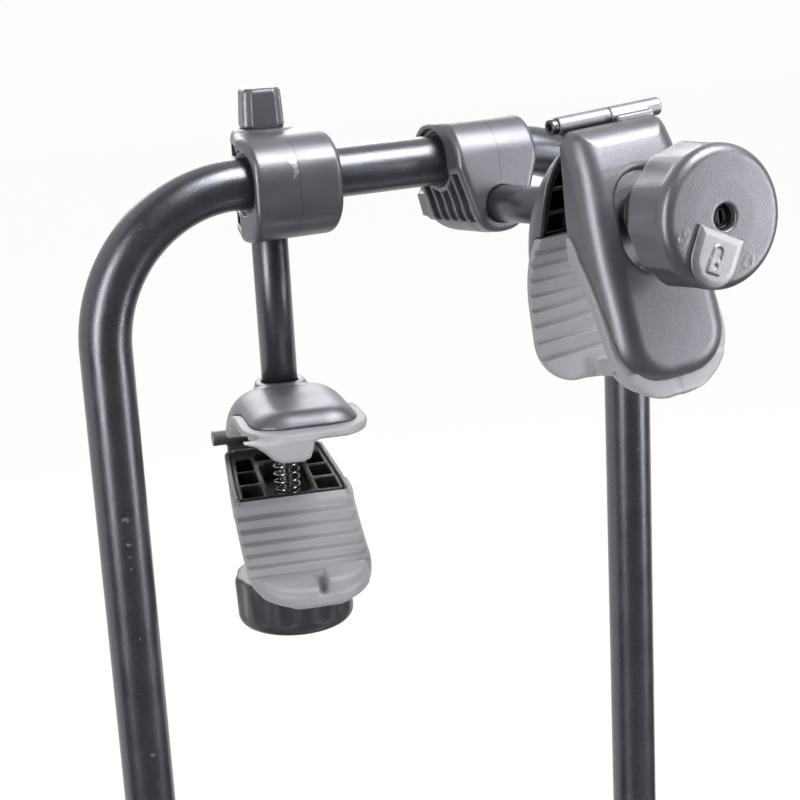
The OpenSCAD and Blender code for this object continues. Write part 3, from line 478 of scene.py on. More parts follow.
COLLAR_HOLE_R, MOUTH_R, MOUTH_HALF, ARM_HOLE_R, ARM_HOLE_TOP = 16.4, 18.8, 24.0, 11.1, 20.0


def collar_shape(x, y, z):
    plan, tube = collar_plan(x, y), np.hypot(y, z)
    arm = np.hypot(x, y - ARM_Y)
    body = both(plan, collar_side(y, z), 4.0)
    body = either(body, both(arm - 16.0, slab(z, -20, COLLAR_HIGH + 0.9), 0.8), 5.0)
    # Pockets between the thin ribs of the slanted ends
    layer = np.abs(np.mod(z + 4.5 + RIB_PITCH / 2, RIB_PITCH) - RIB_PITCH / 2) - POCKET / 2
    pocket = both(both(14.6 - arm, 19.6 - tube), both(layer, slab(z, -29.5, 20.5), 1.0), 1.0)
    pocket = both(pocket, both(10.5 - np.abs(x), slab(y, 8.0, 37.5), 1.0), 1.0)
    body = without(body, pocket, 0.7)
    body = without(body, tube - COLLAR_HOLE_R, 0.8)
    mouth = both(tube - MOUTH_R, MOUTH_HALF - np.abs(x))
    body = without(body, mouth, 1.2)
    return without(body, both(arm - ARM_HOLE_R, z - ARM_HOLE_TOP), 0.6)


# Painted highlight: pale spots beside the left collar's seam, where its round front catches the light
SEAM_HIGHLIGHT_SPOTS = [
    # place of each pale spot of painted highlight on the left collar's round front, beside its seam, in metres; size
    # in metres
    ((-0.0702, -0.1494, 0.7548), 0.0014), ((-0.0682, -0.1499, 0.7545), 0.0018),
    ((-0.0660, -0.1504, 0.7535), 0.0022), ((-0.0642, -0.1513, 0.7518), 0.0024),
    ((-0.0630, -0.1521, 0.7494), 0.0024), ((-0.0630, -0.1530, 0.7466), 0.0022),
    ((-0.0640, -0.1537, 0.7440), 0.0018), ((-0.0656, -0.1539, 0.7418), 0.0014),
]
SEAM_HALF, SEAM_DARK, HIGHLIGHT_PALE = 0.00022, (0.02, 0.02, 0.022), (0.55, 0.56, 0.58)


def seam_and_painted_highlight(tree, coords, shade, gloss):
    """A faint mould seam round each collar's middle, and a pale painted highlight beside the seam on the left one"""
    axes = tree.nodes.new("ShaderNodeSeparateXYZ")
    tree.links.new(coords.outputs["Object"], axes.inputs[0])
    for x, *_ in HOLDERS.values():
        gap = tree.nodes.new("ShaderNodeMath")
        gap.operation = "COMPARE"
        tree.links.new(axes.outputs["X"], gap.inputs[0])
        gap.inputs[1].default_value = x * MM
        gap.inputs[2].default_value = SEAM_HALF
        shade = blended(tree, ranged(tree, gap.outputs[0], 0, 0.55), shade, SEAM_DARK)
    # Painted highlight: pale spots beside the left collar's seam
    for spot, reach in SEAM_HIGHLIGHT_SPOTS:
        pale = ranged(tree, near(tree, coords, spot, reach, 0.0009), 0, 0.4)
        shade = blended(tree, pale, shade, HIGHLIGHT_PALE)
    return shade, gloss


satin = {"colour": (0.132, 0.134, 0.149), "rough": 0.40, "metal": 0.75, "grain": 0.0008, "depth": 0.00014,
         "cloud": 0.08}
collar_grey = finish("satin grey collar plastic", marks=seam_and_painted_highlight, **satin)
grey_plastic = finish("satin grey plastic", **satin)
collar_skin = moulding(collar_shape, (-28, -25, -36), (28, 48, 28), 0.9)
for side in HOLDERS:
    fitted_side(side, "collar_moulding", collar_skin, holder_place(side), collar_grey, "holder", "collar")

# Collar caps: flat-sided grey plastic caps with fluted corners, moulded to a
# slight taper. They close the collars over the arms' upper ends.
CAP_R, CAP_H, CAP_TURN, CAP_SIDE = 15.0, 24.0, -12.0, 34.0


def cap_shape(x, y, z):
    z = z - (COLLAR_HIGH + 1.2)
    a = np.arctan2(y - ARM_Y, x) - math.radians(CAP_TURN)
    r = np.hypot(x, y - ARM_Y) / (1 - 0.1 * z / CAP_H)
    wide = r * np.cos(np.mod(a + math.pi / 4, math.pi / 2) - math.pi / 4) - CAP_R * math.cos(math.radians(CAP_SIDE))
    across = np.mod(a, math.pi / 2) - math.pi / 4
    narrow = r * np.cos(across) - CAP_R * math.cos(math.radians(45 - CAP_SIDE))
    flute = 7.0 - np.hypot(r * np.cos(across) - CAP_R - 5.6, r * np.sin(across))
    body = both(both(wide, narrow, 0.5), flute, 0.6)
    return both(body, slab(z, 0, CAP_H), 3.0)


cap_skin = moulding(cap_shape, (-17, ARM_Y - 17, COLLAR_HIGH + 1), (17, ARM_Y + 17, COLLAR_HIGH + CAP_H + 2), 0.8)
for side in HOLDERS:
    fitted_side(side, "cap_moulding", cap_skin, holder_place(side), grey_plastic, "holder", "collar_cap")

# Slide bushes and arms: thin black bushes let the collars slide on the tube.
# The arms are 22 mm steel tubes in the frame's charcoal coat.
ARM_R, ARM_TOP, ARM_SUNK = 11.0, 19.7, 12
bush_black = finish("black bush plastic", (0.014, 0.014, 0.016), 0.5, grain=0.0008)
for side in HOLDERS:
    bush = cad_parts[f"{side}_sleeve"]
    bush.data.materials.clear()
    bush.data.materials.append(bush_black)
    reach = HOLDERS[side][2]
    place = holder_place(side)
    ends = [place @ Vector((0, ARM_Y, z)) / MM for z in (ARM_TOP, -reach / 2, -reach - ARM_SUNK)]
    arm = swept_tube(f"{side}_arm_tube", ends, ARM_R, charcoal)
    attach(arm, f"{side}_clamp")
    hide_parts(f"{side}_arm")

# Rear jaws: domed grey shells fixed on the arms' ends, each with a black
# ribbed core inside and a soft grey pad that grips a bicycle's tube.
PIN_UP, PIN_OUT = 50.0, 46.0
NECK_R, NECK_DEPTH = 15.5, 12.0


def clamp_place(side, jaw=False, travel=0.0):
    """From a clamp's own millimetres, X across, Y to the hinge and Z away from the neck, to metres"""
    x, turn, reach, swivel, opening = HOLDERS[side]
    place = holder_place(side) @ Matrix.Translation((0, ARM_Y, -reach)) @ turned("Z", swivel) @ turned("Y", 180)
    if jaw:
        pin = Matrix.Translation((0, PIN_UP, PIN_OUT))
        place = place @ pin @ turned("X", -opening) @ pin.inverted()
    return place @ Matrix.Translation((0, 0, travel))


def jaw_plan(top, lip, grow=0.0, corner=27.0):
    """A jaw seen along its arm: narrow at the hinge, wide in the middle, round at the lip"""
    h, t, r = 37.0 + grow, 33.0 + grow, corner + grow
    bulge = [(0.93 * h, 22), (0.955 * h, 12), (0.975 * h, 3), (0.99 * h, -8), (1.0 * h, -20)]
    return outline_field(
        arc(t - 8, top - 8 + grow, 8, 80, 5, 6) + bulge + arc(h - r, -lip + r - grow, r, 0, -90)
        + arc(r - h, -lip + r - grow, r, -90, -180) + [(-x, y) for x, y in reversed(bulge)]
        + arc(8 - t, top - 8 + grow, 8, 175, 100, 6))


GRIP_Y, GRIP_Z, GRIP_R, PAD_T = -51.0, 69.0, 57.0, 5.0
REAR_START, REAR_EDGE, WALL = -9.5, 21.0, 3.0


def grip_angle(r, y):
    """Angle on the grip's circle of radius r at the height y"""
    return -90 + math.degrees(math.asin((y - GRIP_Y) / r))


rear_plan = jaw_plan(42, 95, -1)
rear_back = outline_field(
    arc(-77, 16, 18, -180, -90, 20) + arc(-30, 78, 80, -90, -26, 40) + [(60, 80), (60, 200), (-95, 200)])
rear_rim = outline_field(
    [(80, -60), (80, 57.7), (40, 44), (REAR_START, 27)]
    + arc(GRIP_Y, GRIP_Z, GRIP_R + PAD_T + 0.2, grip_angle(GRIP_R + PAD_T, REAR_START), -90, 30)
    + [(-140, 6.8), (-140, -60)])


def rear_dome(x, y, z, inset=0.0):
    return both(rear_plan(x, y) + inset, rear_back(y, z) + inset, REAR_EDGE - inset)


def rear_hollow(x, y, z, gap=0.0):
    room = both(rear_dome(x, y, z, WALL + gap), REAR_START + gap - y, 1.0)
    boss = both(np.hypot(x, y) - NECK_R, z - NECK_DEPTH)
    return without(room, boss)


def rear_shell_shape(x, y, z):
    neck = np.hypot(x, y)
    body = rear_dome(x, y, z)
    body = either(body, both(neck - NECK_R, slab(z, -1.0, 14.0), 1.2), 4.0)
    body = both(body, rear_rim(y, z), 0.8)
    body = without(body, rear_hollow(x, y, z), 0.6)
    return without(body, neck - 11.2, 0.8)


rear_shell_skin = moulding(rear_shell_shape, (-38, -96, -3), (38, 43, 45), 1.0)


def hollowed(x, y, cells, well):
    """The moulded-in hollows of a jaw's core seen along the arm: cells on both sides of a well for the spring"""
    side, half, low, high = np.abs(x), *well
    found = both(side - half, slab(y, low, high), 6.0)
    for x0, x1, y0, y1 in cells:
        found = np.minimum(found, both(slab(side, x0, x1), slab(y, y0, y1), 1.5))
    return found


def rear_core_shape(x, y, z):
    body = both(rear_hollow(x, y, z, 0.2), rear_rim(y, z) + 1.2, 0.6)
    walls = both(rear_dome(x, y, z, 6.0), REAR_START + 2.4 - y)
    cells = [(15.5, 31, -8, 2), (15.5, 31, 4.2, 15), (15.5, 29, 17.2, 30), (-1, 13, 27, 36)]
    hollow = both(hollowed(x, y, cells, (12.5, -40, 24)), 16.0 - z, 1.0)
    body = without(body, both(walls, hollow), 0.5)
    return without(body, np.hypot(x, y) - 5.0)


rear_core_skin = moulding(rear_core_shape, (-35, -10, 3), (35, 40, 43), 0.9)

rear_pad_plan = jaw_plan(42, 97, 0)
PITCH, STEP_DEPTH = 8.6, 2.7
top_angle = grip_angle(GRIP_R, REAR_START)
rear_pad_side = outline_field(
    arc(GRIP_Y, GRIP_Z, GRIP_R, top_angle, -90, 40) + [(-94, 12), (-97.5, 10.5), (-97.5, 7)]
    + arc(GRIP_Y, GRIP_Z, GRIP_R + PAD_T, -90, top_angle + 8, 40))
tongue_side = outline_field(
    [(-5, 9.5), (-1, 12), (0, 17), (2, 22), (6, 23.6), (18, 23.2), (23, 21), (28, 16), (33, 12), (40, 9.5)])


def rear_pad_shape(x, y, z):
    side = rear_pad_side(y, z)
    # Steps across the pad, each with a slow rise and a quick fall
    run = np.arctan2(y - GRIP_Y, GRIP_Z - z) * GRIP_R
    phase = np.mod(run / PITCH, 1.0)
    step = np.where(phase < 0.8, phase / 0.8, (1 - phase) / 0.2)
    fade = np.clip((run + 30) / 4, 0, 1) * np.clip((38 - run) / 4, 0, 1)
    inner = (np.hypot(y - GRIP_Y, z - GRIP_Z) < GRIP_R + 2.5) | ((y < GRIP_Y) & (z > 9.5))
    side = side + STEP_DEPTH * (1 - step) * fade * inner
    body = both(rear_pad_plan(x, y), side, 1.2)
    tongue = both(tongue_side(x, z), slab(y, -97.5, -88), 2.5)
    body = either(body, tongue, 2.5)
    return both(body, y - REAR_START + 0.2, 0.6)


rear_pad_skin = moulding(rear_pad_shape, (-39, -98, 5), (39, -9, 32), 0.85)

core_black = finish("black glass-filled plastic", (0.012, 0.012, 0.013), 0.42, grain=0.0007, depth=0.00005)
pad_grey = finish("soft light grey rubber", (0.230, 0.233, 0.243), 0.50, grain=0.0005, depth=0.00006, cloud=0.05,
                  cloud_size=0.012)
for side in HOLDERS:
    place = clamp_place(side)
    fitted_side(side, "rear_dome", rear_shell_skin, place, grey_plastic, "clamp", "rear_shell")
    fitted_side(side, "rear_core", rear_core_skin, place, core_black, "clamp", "rear_body")
    fitted_side(side, "rear_grip", rear_pad_skin, place, pad_grey, "clamp", "rear_pad")

# Front jaws: grey covers that swing on the hinge, with a black core and a pad.
# The face is a long shield shape, hollowed where the knob's neck presses on it.
CROWN_R, CROWN_LOW = 32.0, 15.0
WIDE_Y, WIDE_Z, WIDE_R, WIDE_T = -111.0, -79.0, 163.0, 7.0
FRONT_START, FRONT_EDGE = -20.0, 14.0


def wide_angle(r, y):
    return 90 - math.degrees(math.asin((y - WIDE_Y) / r))


def eased(points, rounds=2):
    """Cuts the corners of an open line until it is smooth"""
    for _ in range(rounds):
        cut = [points[0]]
        for (ax, ay), (bx, by) in zip(points, points[1:]):
            cut += [(ax * 0.75 + bx * 0.25, ay * 0.75 + by * 0.25), (ax * 0.25 + bx * 0.75, ay * 0.25 + by * 0.75)]
        points = cut + [points[-1]]
    return points


face_line = eased([(52, 30), (52, 60), (46, 66.5), (37, 71), (20, 77), (-5, 81.5), (-28, 85.5), (-40, 88.5),
                   (-56, 92), (-74, 95), (-88, 95), (-93, 92), (-93, 30)])
front_face = outline_field(face_line + [(-93, -60), (52, -60)])
front_plan = jaw_plan(52, 93, -1, 30)
front_rim = outline_field(
    [(80, 200), (80, 57.5), (40, 53), (FRONT_START, 55)]
    + arc(WIDE_Y, WIDE_Z, WIDE_R + WIDE_T + 0.2, wide_angle(WIDE_R + WIDE_T, FRONT_START),
          wide_angle(WIDE_R + WIDE_T, -96), 30) + [(-140, 94), (-140, 200)])


def front_form(x, y, z, inset=0.0):
    return both(front_plan(x, y) + inset, front_face(y, z) + inset, FRONT_EDGE - inset)


def bowl_floor(y, z):
    """Height over the hollow that the washer slides in: a round crown that runs out in a slope"""
    crown = np.hypot(y + CROWN_LOW, z - PIN_OUT) - CROWN_R
    return np.where(y < -9.3, crown, z - (77.5 - 0.18 * (y + 9.3)))


def front_hollow(x, y, z, gap=0.0):
    room = both(front_form(x, y, z, WALL + gap), FRONT_START + gap - y, 1.0)
    # The wall behind the crown that the knob presses on stays thick
    wall = both(both(slab(x, -21, 21), slab(y, -33, 26)), -(bowl_floor(y, z) + WALL + gap))
    return without(both(room, z - 74.5 + gap), wall, 1.0)


def rod_slot(x, y):
    """The long hole that lets the rod lean as the jaw opens"""
    return np.hypot(x, np.maximum(slab(y, -11, 6), 0)) - 5.2


def front_cover_shape(x, y, z):
    body = both(front_form(x, y, z), front_rim(y, z), 0.8)
    bed = both(both(both(slab(x, -18, 18), slab(y, -30, 22.4), 17.9), -bowl_floor(y, z)), 60 - z)
    body = without(body, bed, 4.5)
    body = without(body, front_hollow(x, y, z), 0.6)
    return without(body, rod_slot(x, y), 0.8)


front_cover_skin = moulding(front_cover_shape, (-37, -94, 50), (37, 53, 97), 1.0)


def front_core_shape(x, y, z):
    body = both(front_hollow(x, y, z, 0.2), front_rim(y, z) + 1.2, 0.6)
    walls = both(front_form(x, y, z, 6.0), FRONT_START + 2.4 - y)
    cells = [(17, 31, -17.5, -3), (17, 31, -0.5, 14), (17, 30, 16.5, 32), (-1, 14, 28, 38)]
    hollow = both(hollowed(x, y, cells, (13.5, -17.5, 24)), z - 64.0, 1.0)
    body = without(body, both(walls, hollow), 0.5)
    return without(body, rod_slot(x, y))


front_core_skin = moulding(front_core_shape, (-35, -21, 52), (35, 50, 76), 0.85)

front_pad_plan = jaw_plan(52, 98, 0.5, 34)
wide_top, wide_lip = wide_angle(WIDE_R, FRONT_START), wide_angle(WIDE_R, -98)
front_pad_side = outline_field(
    arc(WIDE_Y, WIDE_Z, WIDE_R, wide_top, wide_lip, 40) + [(-98.8, 88.5), (-96, 91.5)]
    + arc(WIDE_Y, WIDE_Z, WIDE_R + WIDE_T, wide_lip - 1.2, wide_top, 40))


def front_pad_shape(x, y, z):
    side = front_pad_side(y, z)
    run = FRONT_START - y
    phase = np.mod(run / PITCH + 0.25, 1.0)
    step = np.where(phase < 0.72, phase / 0.72, (1 - phase) / 0.28)
    fade = np.clip((run - 4) / 3, 0, 1) * np.clip((56 - run) / 4, 0, 1)
    # The steps run out before the pad's left edge, which stays a plain rim
    fade = fade * np.clip((x + 36) / 3, 0, 1)
    side = side + STEP_DEPTH * (1 - step) * fade * (np.hypot(y - WIDE_Y, z - WIDE_Z) < WIDE_R + 3.5)
    body = both(front_pad_plan(x, y), side, 1.5)
    # A raised block, a notch beside it and a low rim fill the lip
    block = both(both(slab(x, -40, -5.0), slab(y, -110, -80), 4.0), slab(z, 73.0, 90), 1.0)
    rim = both(both(slab(x, 0.5, 40), slab(y, -110, -77 - 0.12 * x), 3.0), slab(z, 78.0, 90), 1.5)
    lip = both(np.minimum(block, rim), front_pad_plan(x, y) + 0.4, 3.0)
    body = either(body, lip, 2.0)
    body = both(body, y - FRONT_START + 0.2, 0.6)
    # The pad's edges climb a little further up the sides of the cover
    tip = both(both(front_pad_plan(x, y), front_pad_tip(y, z), 1.0), 34.2 - np.abs(x), 0.4)
    return either(body, tip, 1.0)


front_pad_tip = outline_field([(-24, 57.5), (-20, 55.2), (-8, 54.8), (-6.5, 56), (-8, 58.5), (-14, 62.5), (-24, 66)])
front_pad_skin = moulding(front_pad_shape, (-38.5, -99.5, 54), (38.5, -6, 93), 0.8)

for side in HOLDERS:
    place = clamp_place(side, jaw=True)
    fitted_side(side, "front_shield", front_cover_skin, place, grey_plastic, "jaw", "front_cover")
    fitted_side(side, "front_core", front_core_skin, place, core_black, "jaw", "front_body")
    fitted_side(side, "front_grip", front_pad_skin, place, pad_grey, "jaw", "front_pad")

# Hinges: two plated barrels with welded leaves on one screw with a hexagon socket.
# The near barrel and its leaf sit on the rear jaw, the far ones on the front jaw.
HINGE_LEN, HINGE_SHIFT, KNUCKLE_R, SCREW_R = 66.0, 5.0, 5.0, 3.0
hinge_start, hinge_middle, hinge_end = HINGE_SHIFT - HINGE_LEN / 2, HINGE_SHIFT, HINGE_SHIFT + HINGE_LEN / 2


def hinge_half(span, leaf_x, leaf_y, leaf_z):
    """The field of a barrel that fills span on the screw, with a leaf welded to it"""
    def shape(x, y, z):
        r = np.hypot(y, z)
        barrel = both(r - KNUCKLE_R, slab(x, *span), 0.5)
        leaf = both(both(slab(x, *leaf_x), slab(y, *leaf_y), 1.0), slab(z, *leaf_z), 0.8)
        return without(either(barrel, leaf, 1.5), r - SCREW_R - 0.06)

    return shape


def screw_shape(x, y, z):
    r = np.hypot(y, z)
    head = both(r - 4.4, slab(x, hinge_start - 4.15, hinge_start - 0.15), 0.7)
    shaft = both(r - SCREW_R, slab(x, hinge_start - 0.2, hinge_end))
    socket = np.maximum(np.abs(y), np.abs(0.5 * y + 0.866 * z))
    socket = np.maximum(socket, np.abs(0.5 * y - 0.866 * z)) - 2.15
    return without(np.minimum(head, shaft), both(socket, x - hinge_start + 0.7), 0.2)


plated = finish("satin zinc plate", (0.23, 0.233, 0.250), 0.48, metal=1.0, grain=0.0010, depth=0.00003, cloud=0.10,
                cloud_size=0.006)
dark_steel = finish("black oxide steel", (0.11, 0.11, 0.118), 0.36, metal=1.0, grain=0.0008, depth=0.00003,
                    cloud=0.12, cloud_size=0.006)
rear_hinge_shape = hinge_half((hinge_start, hinge_middle - 0.15), (-24.8, hinge_middle - 0.4), (-7.8, -4.0),
                              (-8.9, 0.5))
front_hinge_shape = hinge_half((hinge_middle + 0.15, hinge_end), (hinge_middle + 0.4, 28.8), (-3.9, -0.2),
                               (-0.5, 9.7))
rear_hinge_skin = moulding(rear_hinge_shape, (hinge_start, -8.5, -9.5), (hinge_middle, 5.5, 5.5), 0.6)
front_hinge_skin = moulding(front_hinge_shape, (hinge_middle, -5.5, -5.5), (hinge_end, 5.5, 10.5), 0.6)
screw_skin = moulding(screw_shape, (hinge_start - 4.5, -4.6, -4.6), (hinge_end, 4.6, 4.6), 0.42)
for side in HOLDERS:
    pin = Matrix.Translation((0, PIN_UP, PIN_OUT))
    place, jaw_place = clamp_place(side) @ pin, clamp_place(side, jaw=True) @ pin
    fitted_side(side, "near_barrel", rear_hinge_skin, place, plated, "clamp", "rear_knuckle")
    fitted_side(side, "far_barrel", front_hinge_skin, jaw_place, plated, "jaw", "front_knuckle")
    fitted_side(side, "socket_screw", screw_skin, place, dark_steel, "clamp", "hinge_screw")

# Springs: bright coil springs that push the jaws apart, round the threaded rods.
# The left one stands open, the right one is pressed short.
SPRING_FOOT, SPRING_D, WIRE_D, CURLS = 16.0, 17.0, 1.5, 12
KNOB_RATE = 65.0


def knob_travel(side):
    """How far a knob and its rod stand out, in millimetres, with the jaw as open as it is"""
    return KNOB_RATE * math.radians(HOLDERS[side][4])


def coil_spring(length, rings=28, sides=10):
    """Round wire wound round Z from the spring's foot, its end curls laid close"""
    r, total = (SPRING_D - WIRE_D) / 2, int(CURLS * rings)
    rise = length - WIRE_D
    points = []
    for i in range(total + 1):
        t, a = i / total, 2 * math.pi * i / rings
        close = 0.9 / CURLS
        lift = np.interp(t, [0, close, 1 - close, 1], [0, WIRE_D / rise, 1 - WIRE_D / rise, 1]) * rise
        for k in range(sides):
            b = 2 * math.pi * k / sides
            out = r + WIRE_D / 2 * math.cos(b)
            points.append((out * math.cos(a), out * math.sin(a),
                           SPRING_FOOT + 0.3 + WIRE_D / 2 + lift + WIRE_D / 2 * math.sin(b)))
    return np.array(points), tube_faces(total + 1, sides)


def tube_faces(rings, sides):
    """Four-sided faces between rings of points, and a fan of four-sided faces over each end"""
    faces = []
    for i in range(rings - 1):
        for k in range(sides):
            a, b = i * sides + k, i * sides + (k + 1) % sides
            faces.append((a, b, b + sides, a + sides)[::-1])
    for start, turn in ((0, 1), ((rings - 1) * sides, -1)):
        for k in range(1, sides - 2, 2):
            faces.append((start, start + k, start + k + 1, start + k + 2)[::turn])
    return np.array(faces)


spring_wire = finish("bright spring wire", (0.30, 0.30, 0.32), 0.22, metal=1.0, grain=0.0006, depth=0.00001,
                     cloud=0.12, cloud_size=0.004)
for side, length in (("left", 55.5), ("right", 30.0)):
    spring = fitted_side(side, "coil", coil_spring(length), clamp_place(side), spring_wire, "clamp", "spring")
    if side == "left":
        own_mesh(spring)

# Rods and washers: M8 rods in black oxide steel carry the knobs, and each knob
# presses its jaw through a loose black washer.
ROD_R, ROD_BACK, ROD_END, THREAD, THREAD_DEPTH = 4.0, -22.0, 123.6, 1.25, 0.55
WASHER_R, WASHER_HOLE_R, WASHER_LOW, WASHER_HIGH = 15.5, 4.05, 78.3, 80.8


def threaded_rod(sides=24, steps=5):
    """A rod along Z with a thread, drawn as rings of points, steps to a pitch, and bevelled ends"""
    rings = int((ROD_END - ROD_BACK) / THREAD * steps)
    points = []
    for i in range(rings + 1):
        z = ROD_BACK + (ROD_END - ROD_BACK) * i / rings
        end = min(i, rings - i)
        for k in range(sides):
            phase = (i / steps + k / sides) % 1.0
            r = ROD_R - THREAD_DEPTH * abs(2 * phase - 1) - (0.5 if end == 0 else 0.2 if end == 1 else 0)
            a = 2 * math.pi * k / sides
            points.append((r * math.cos(a), r * math.sin(a), z))
    return np.array(points), tube_faces(rings + 1, sides)


def washer_shape(x, y, z):
    r = np.hypot(x, y)
    return without(both(r - WASHER_R, slab(z, WASHER_LOW, WASHER_HIGH), 0.6), r - WASHER_HOLE_R, 0.3)


washer_skin = moulding(washer_shape, (-WASHER_R, -WASHER_R, WASHER_LOW), (WASHER_R, WASHER_R, WASHER_HIGH), 0.6)
rod_skin = threaded_rod()
for side in HOLDERS:
    place = clamp_place(side, travel=knob_travel(side))
    fitted_side(side, "threaded_rod", rod_skin, place, dark_steel, "grip", "rod")
    fitted_side(side, "loose_washer", washer_skin, place, core_black, "pressure", "washer")

# Knobs: big round hand knobs that pull the jaws together on a threaded rod.
# The rim is scalloped for the fingers; the right one holds the lock.
KNOB_R, KNOB_BACK, KNOB_FRONT, KNOB_NECK_R = 37.5, 111.6, 144.1, 15.5
NECK_OUT, HOLLOWS, HOLLOW_R, HOLLOW_OUT = 81.1, 12, 24, 59.7
knob_profile = outline_field(
    [(-40, NECK_OUT), (KNOB_NECK_R - 1, NECK_OUT), (KNOB_NECK_R, NECK_OUT + 1), (KNOB_NECK_R, KNOB_BACK - 3)]
    + arc(KNOB_NECK_R + 3, KNOB_BACK - 3, 3, 180, 90, 6) + arc(KNOB_R - 4, KNOB_BACK + 4, 4, -90, 0, 8)
    + arc(KNOB_R - 7, KNOB_FRONT - 6.3, 6, 5, 88, 10) + [(18, KNOB_FRONT), (-40, KNOB_FRONT)])


def knob_shape(x, y, z):
    body = knob_profile(np.hypot(x, y), z)
    for k in range(HOLLOWS):
        a = 2 * math.pi * (k + 0.5) / HOLLOWS
        hollow = np.hypot(x - HOLLOW_OUT * math.cos(a), y - HOLLOW_OUT * math.sin(a)) - HOLLOW_R
        body = without(body, both(hollow, z - (KNOB_FRONT - 7), 2.5), 1.0)
    return body


LOCK_TURN, KEY_HOLE_R, KEY_HOLE_DEPTH = -28.0, 6.6, 12


def lock_frame(x, y):
    """Across the lock's cover and along it, from the knob's own X and Y"""
    c, s = math.cos(math.radians(LOCK_TURN)), math.sin(math.radians(LOCK_TURN))
    return c * x + s * y, c * y - s * x


def lock_knob_shape(x, y, z):
    body = without(knob_shape(x, y, z), both(np.hypot(x, y) - KEY_HOLE_R, KNOB_FRONT - KEY_HOLE_DEPTH - z), 0.8)
    u, v = lock_frame(x, y)
    groove = both(both(slab(u, -3, 3), slab(v, -32, -8.4)), KNOB_FRONT - 3 - z)
    body = without(body, groove, 0.3)
    # A small raised padlock on each side of the cover, the left one open
    for middle, shift in ((-21.5, 1.6), (21.5, 0.0)):
        box = np.maximum(np.abs(u - middle) - 2.6, np.abs(v + 17.5) - 2.0)
        bow = both(np.abs(np.hypot(u - middle - shift, np.maximum(v + 14.8, 0)) - 1.9) - 0.4, -15.8 - v)
        mark = both(np.minimum(np.abs(box) - 0.4, bow), slab(z, KNOB_FRONT - 1, KNOB_FRONT + 0.05))
        body = np.minimum(body, mark)
    return body


# Painted shade: the left knob's plastic is a darker copy of the knob grey, for the shade that knob sits in
shaded_knob_plastic = finish("knob plastic darkened as painted shade", (0.050, 0.051, 0.058), 0.36, metal=0.5, grain=0.0006, depth=0.00008,
                      cloud=0.08)
knob_box = (-38, -38, NECK_OUT - 1), (38, 38, KNOB_FRONT + 1)
fitted("left_knob_head", moulding(knob_shape, *knob_box), clamp_place("left", travel=knob_travel("left")),
       shaded_knob_plastic, "left_grip", ["left_knob"])
fitted("right_knob_head", moulding(lock_knob_shape, *knob_box), clamp_place("right"), grey_plastic, "right_grip",
       ["right_knob"])

# Lock: a dark key barrel sunk in the right knob, and a sliding metal cover
# that is stamped with a plain padlock mark and runs in a groove.
COVER_LOW, COVER_HIGH, COVER_HALF, COVER_T = -36.0, -7.5, 14.5, 2.6
BARREL_R, BARREL_LOW, BARREL_HIGH = 6.45, 132.3, 140.3


def key_barrel_shape(x, y, z):
    r = np.hypot(x, y)
    body = both(r - BARREL_R, slab(z, BARREL_LOW, BARREL_HIGH), 0.5)
    ring = both(np.abs(r - 4.9) - 0.35, 139.8 - z)
    slot = both(both(slab(x, -0.75, 0.75), slab(y, -3.5, 3.5), 0.2), 134.3 - z)
    return without(without(body, ring), slot, 0.2)


def lock_cover_shape(x, y, z):
    u, v = lock_frame(x, y)
    low = COVER_LOW + COVER_HALF
    outline = np.where(v < low, np.hypot(u, v - low) - COVER_HALF, np.maximum(np.abs(u) - COVER_HALF, v - COVER_HIGH))
    base = KNOB_FRONT + 0.1
    plate = both(outline, slab(z, base, base + COVER_T), 0.9)
    # The plate falls away a little towards its edges
    plate = both(plate, z - base - COVER_T + 0.25 * np.clip(outline + 4.0, 0, 4), 0.5)
    key = both(both(slab(u, -4.3, 4.3), slab(v, -29.0, -21.5), 0.8), slab(z, base + 1, base + COVER_T + 0.5), 0.3)
    hole = both(np.hypot(u, v + 25.0) - 1.1, base + COVER_T - 0.4 - z)
    bow = np.hypot(u, np.maximum(v + 17.6, 0))
    bow = both(both(np.abs(bow - 2.9) - 0.8, -21.8 - v), slab(z, base + 1, base + COVER_T + 0.5), 0.2)
    body = np.minimum(np.minimum(plate, without(key, hole, 0.1)), bow)
    guide = both(slab(u, -2.8, 2.8), slab(v, COVER_LOW + 4.3, COVER_LOW + 13.3))
    guide = both(guide, slab(z, KNOB_FRONT - 2.8, base + 1))
    return np.minimum(body, guide)


key_dark = finish("dark plated lock", (0.018, 0.018, 0.020), 0.35, metal=0.9, grain=0.0008)
lock_metal = finish("satin zinc lock cover", (0.22, 0.225, 0.240), 0.42, metal=0.85, grain=0.0008, depth=0.00006,
                    cloud=0.12, cloud_size=0.005)
knob_at_right = clamp_place("right", travel=knob_travel("right"))
fitted("key_barrel", moulding(key_barrel_shape, (-6.5, -6.5, 132), (6.5, 6.5, 140.5), 0.45), knob_at_right, key_dark,
       "lock_plug", ["right_lock_cylinder"])
fitted("lock_slide", moulding(lock_cover_shape, (-29, -38, 141), (22, 6, 147.5), 0.55), knob_at_right, lock_metal,
       "lock_shield", ["right_lock_cover"])

# Coupling housing: a black coated steel head that drops over the tow ball.
# Two plates at its back hold the tilt pin, two cheeks on top hold the lever.
TILT_Y, TILT_Z, LEVER_Y, LEVER_Z, LEVER_END, BALL_HOLE_R = -70.0, 10.0, 30.0, 56.0, -180.0, 25.4
HOUSING_X, HOUSING_Y, HOUSING_LOW, HOUSING_TOP, TILT_HOLE_R, LEVER_HOLE_R = 38.0, 45.0, -21.0, 42.0, 6.05, 5.05


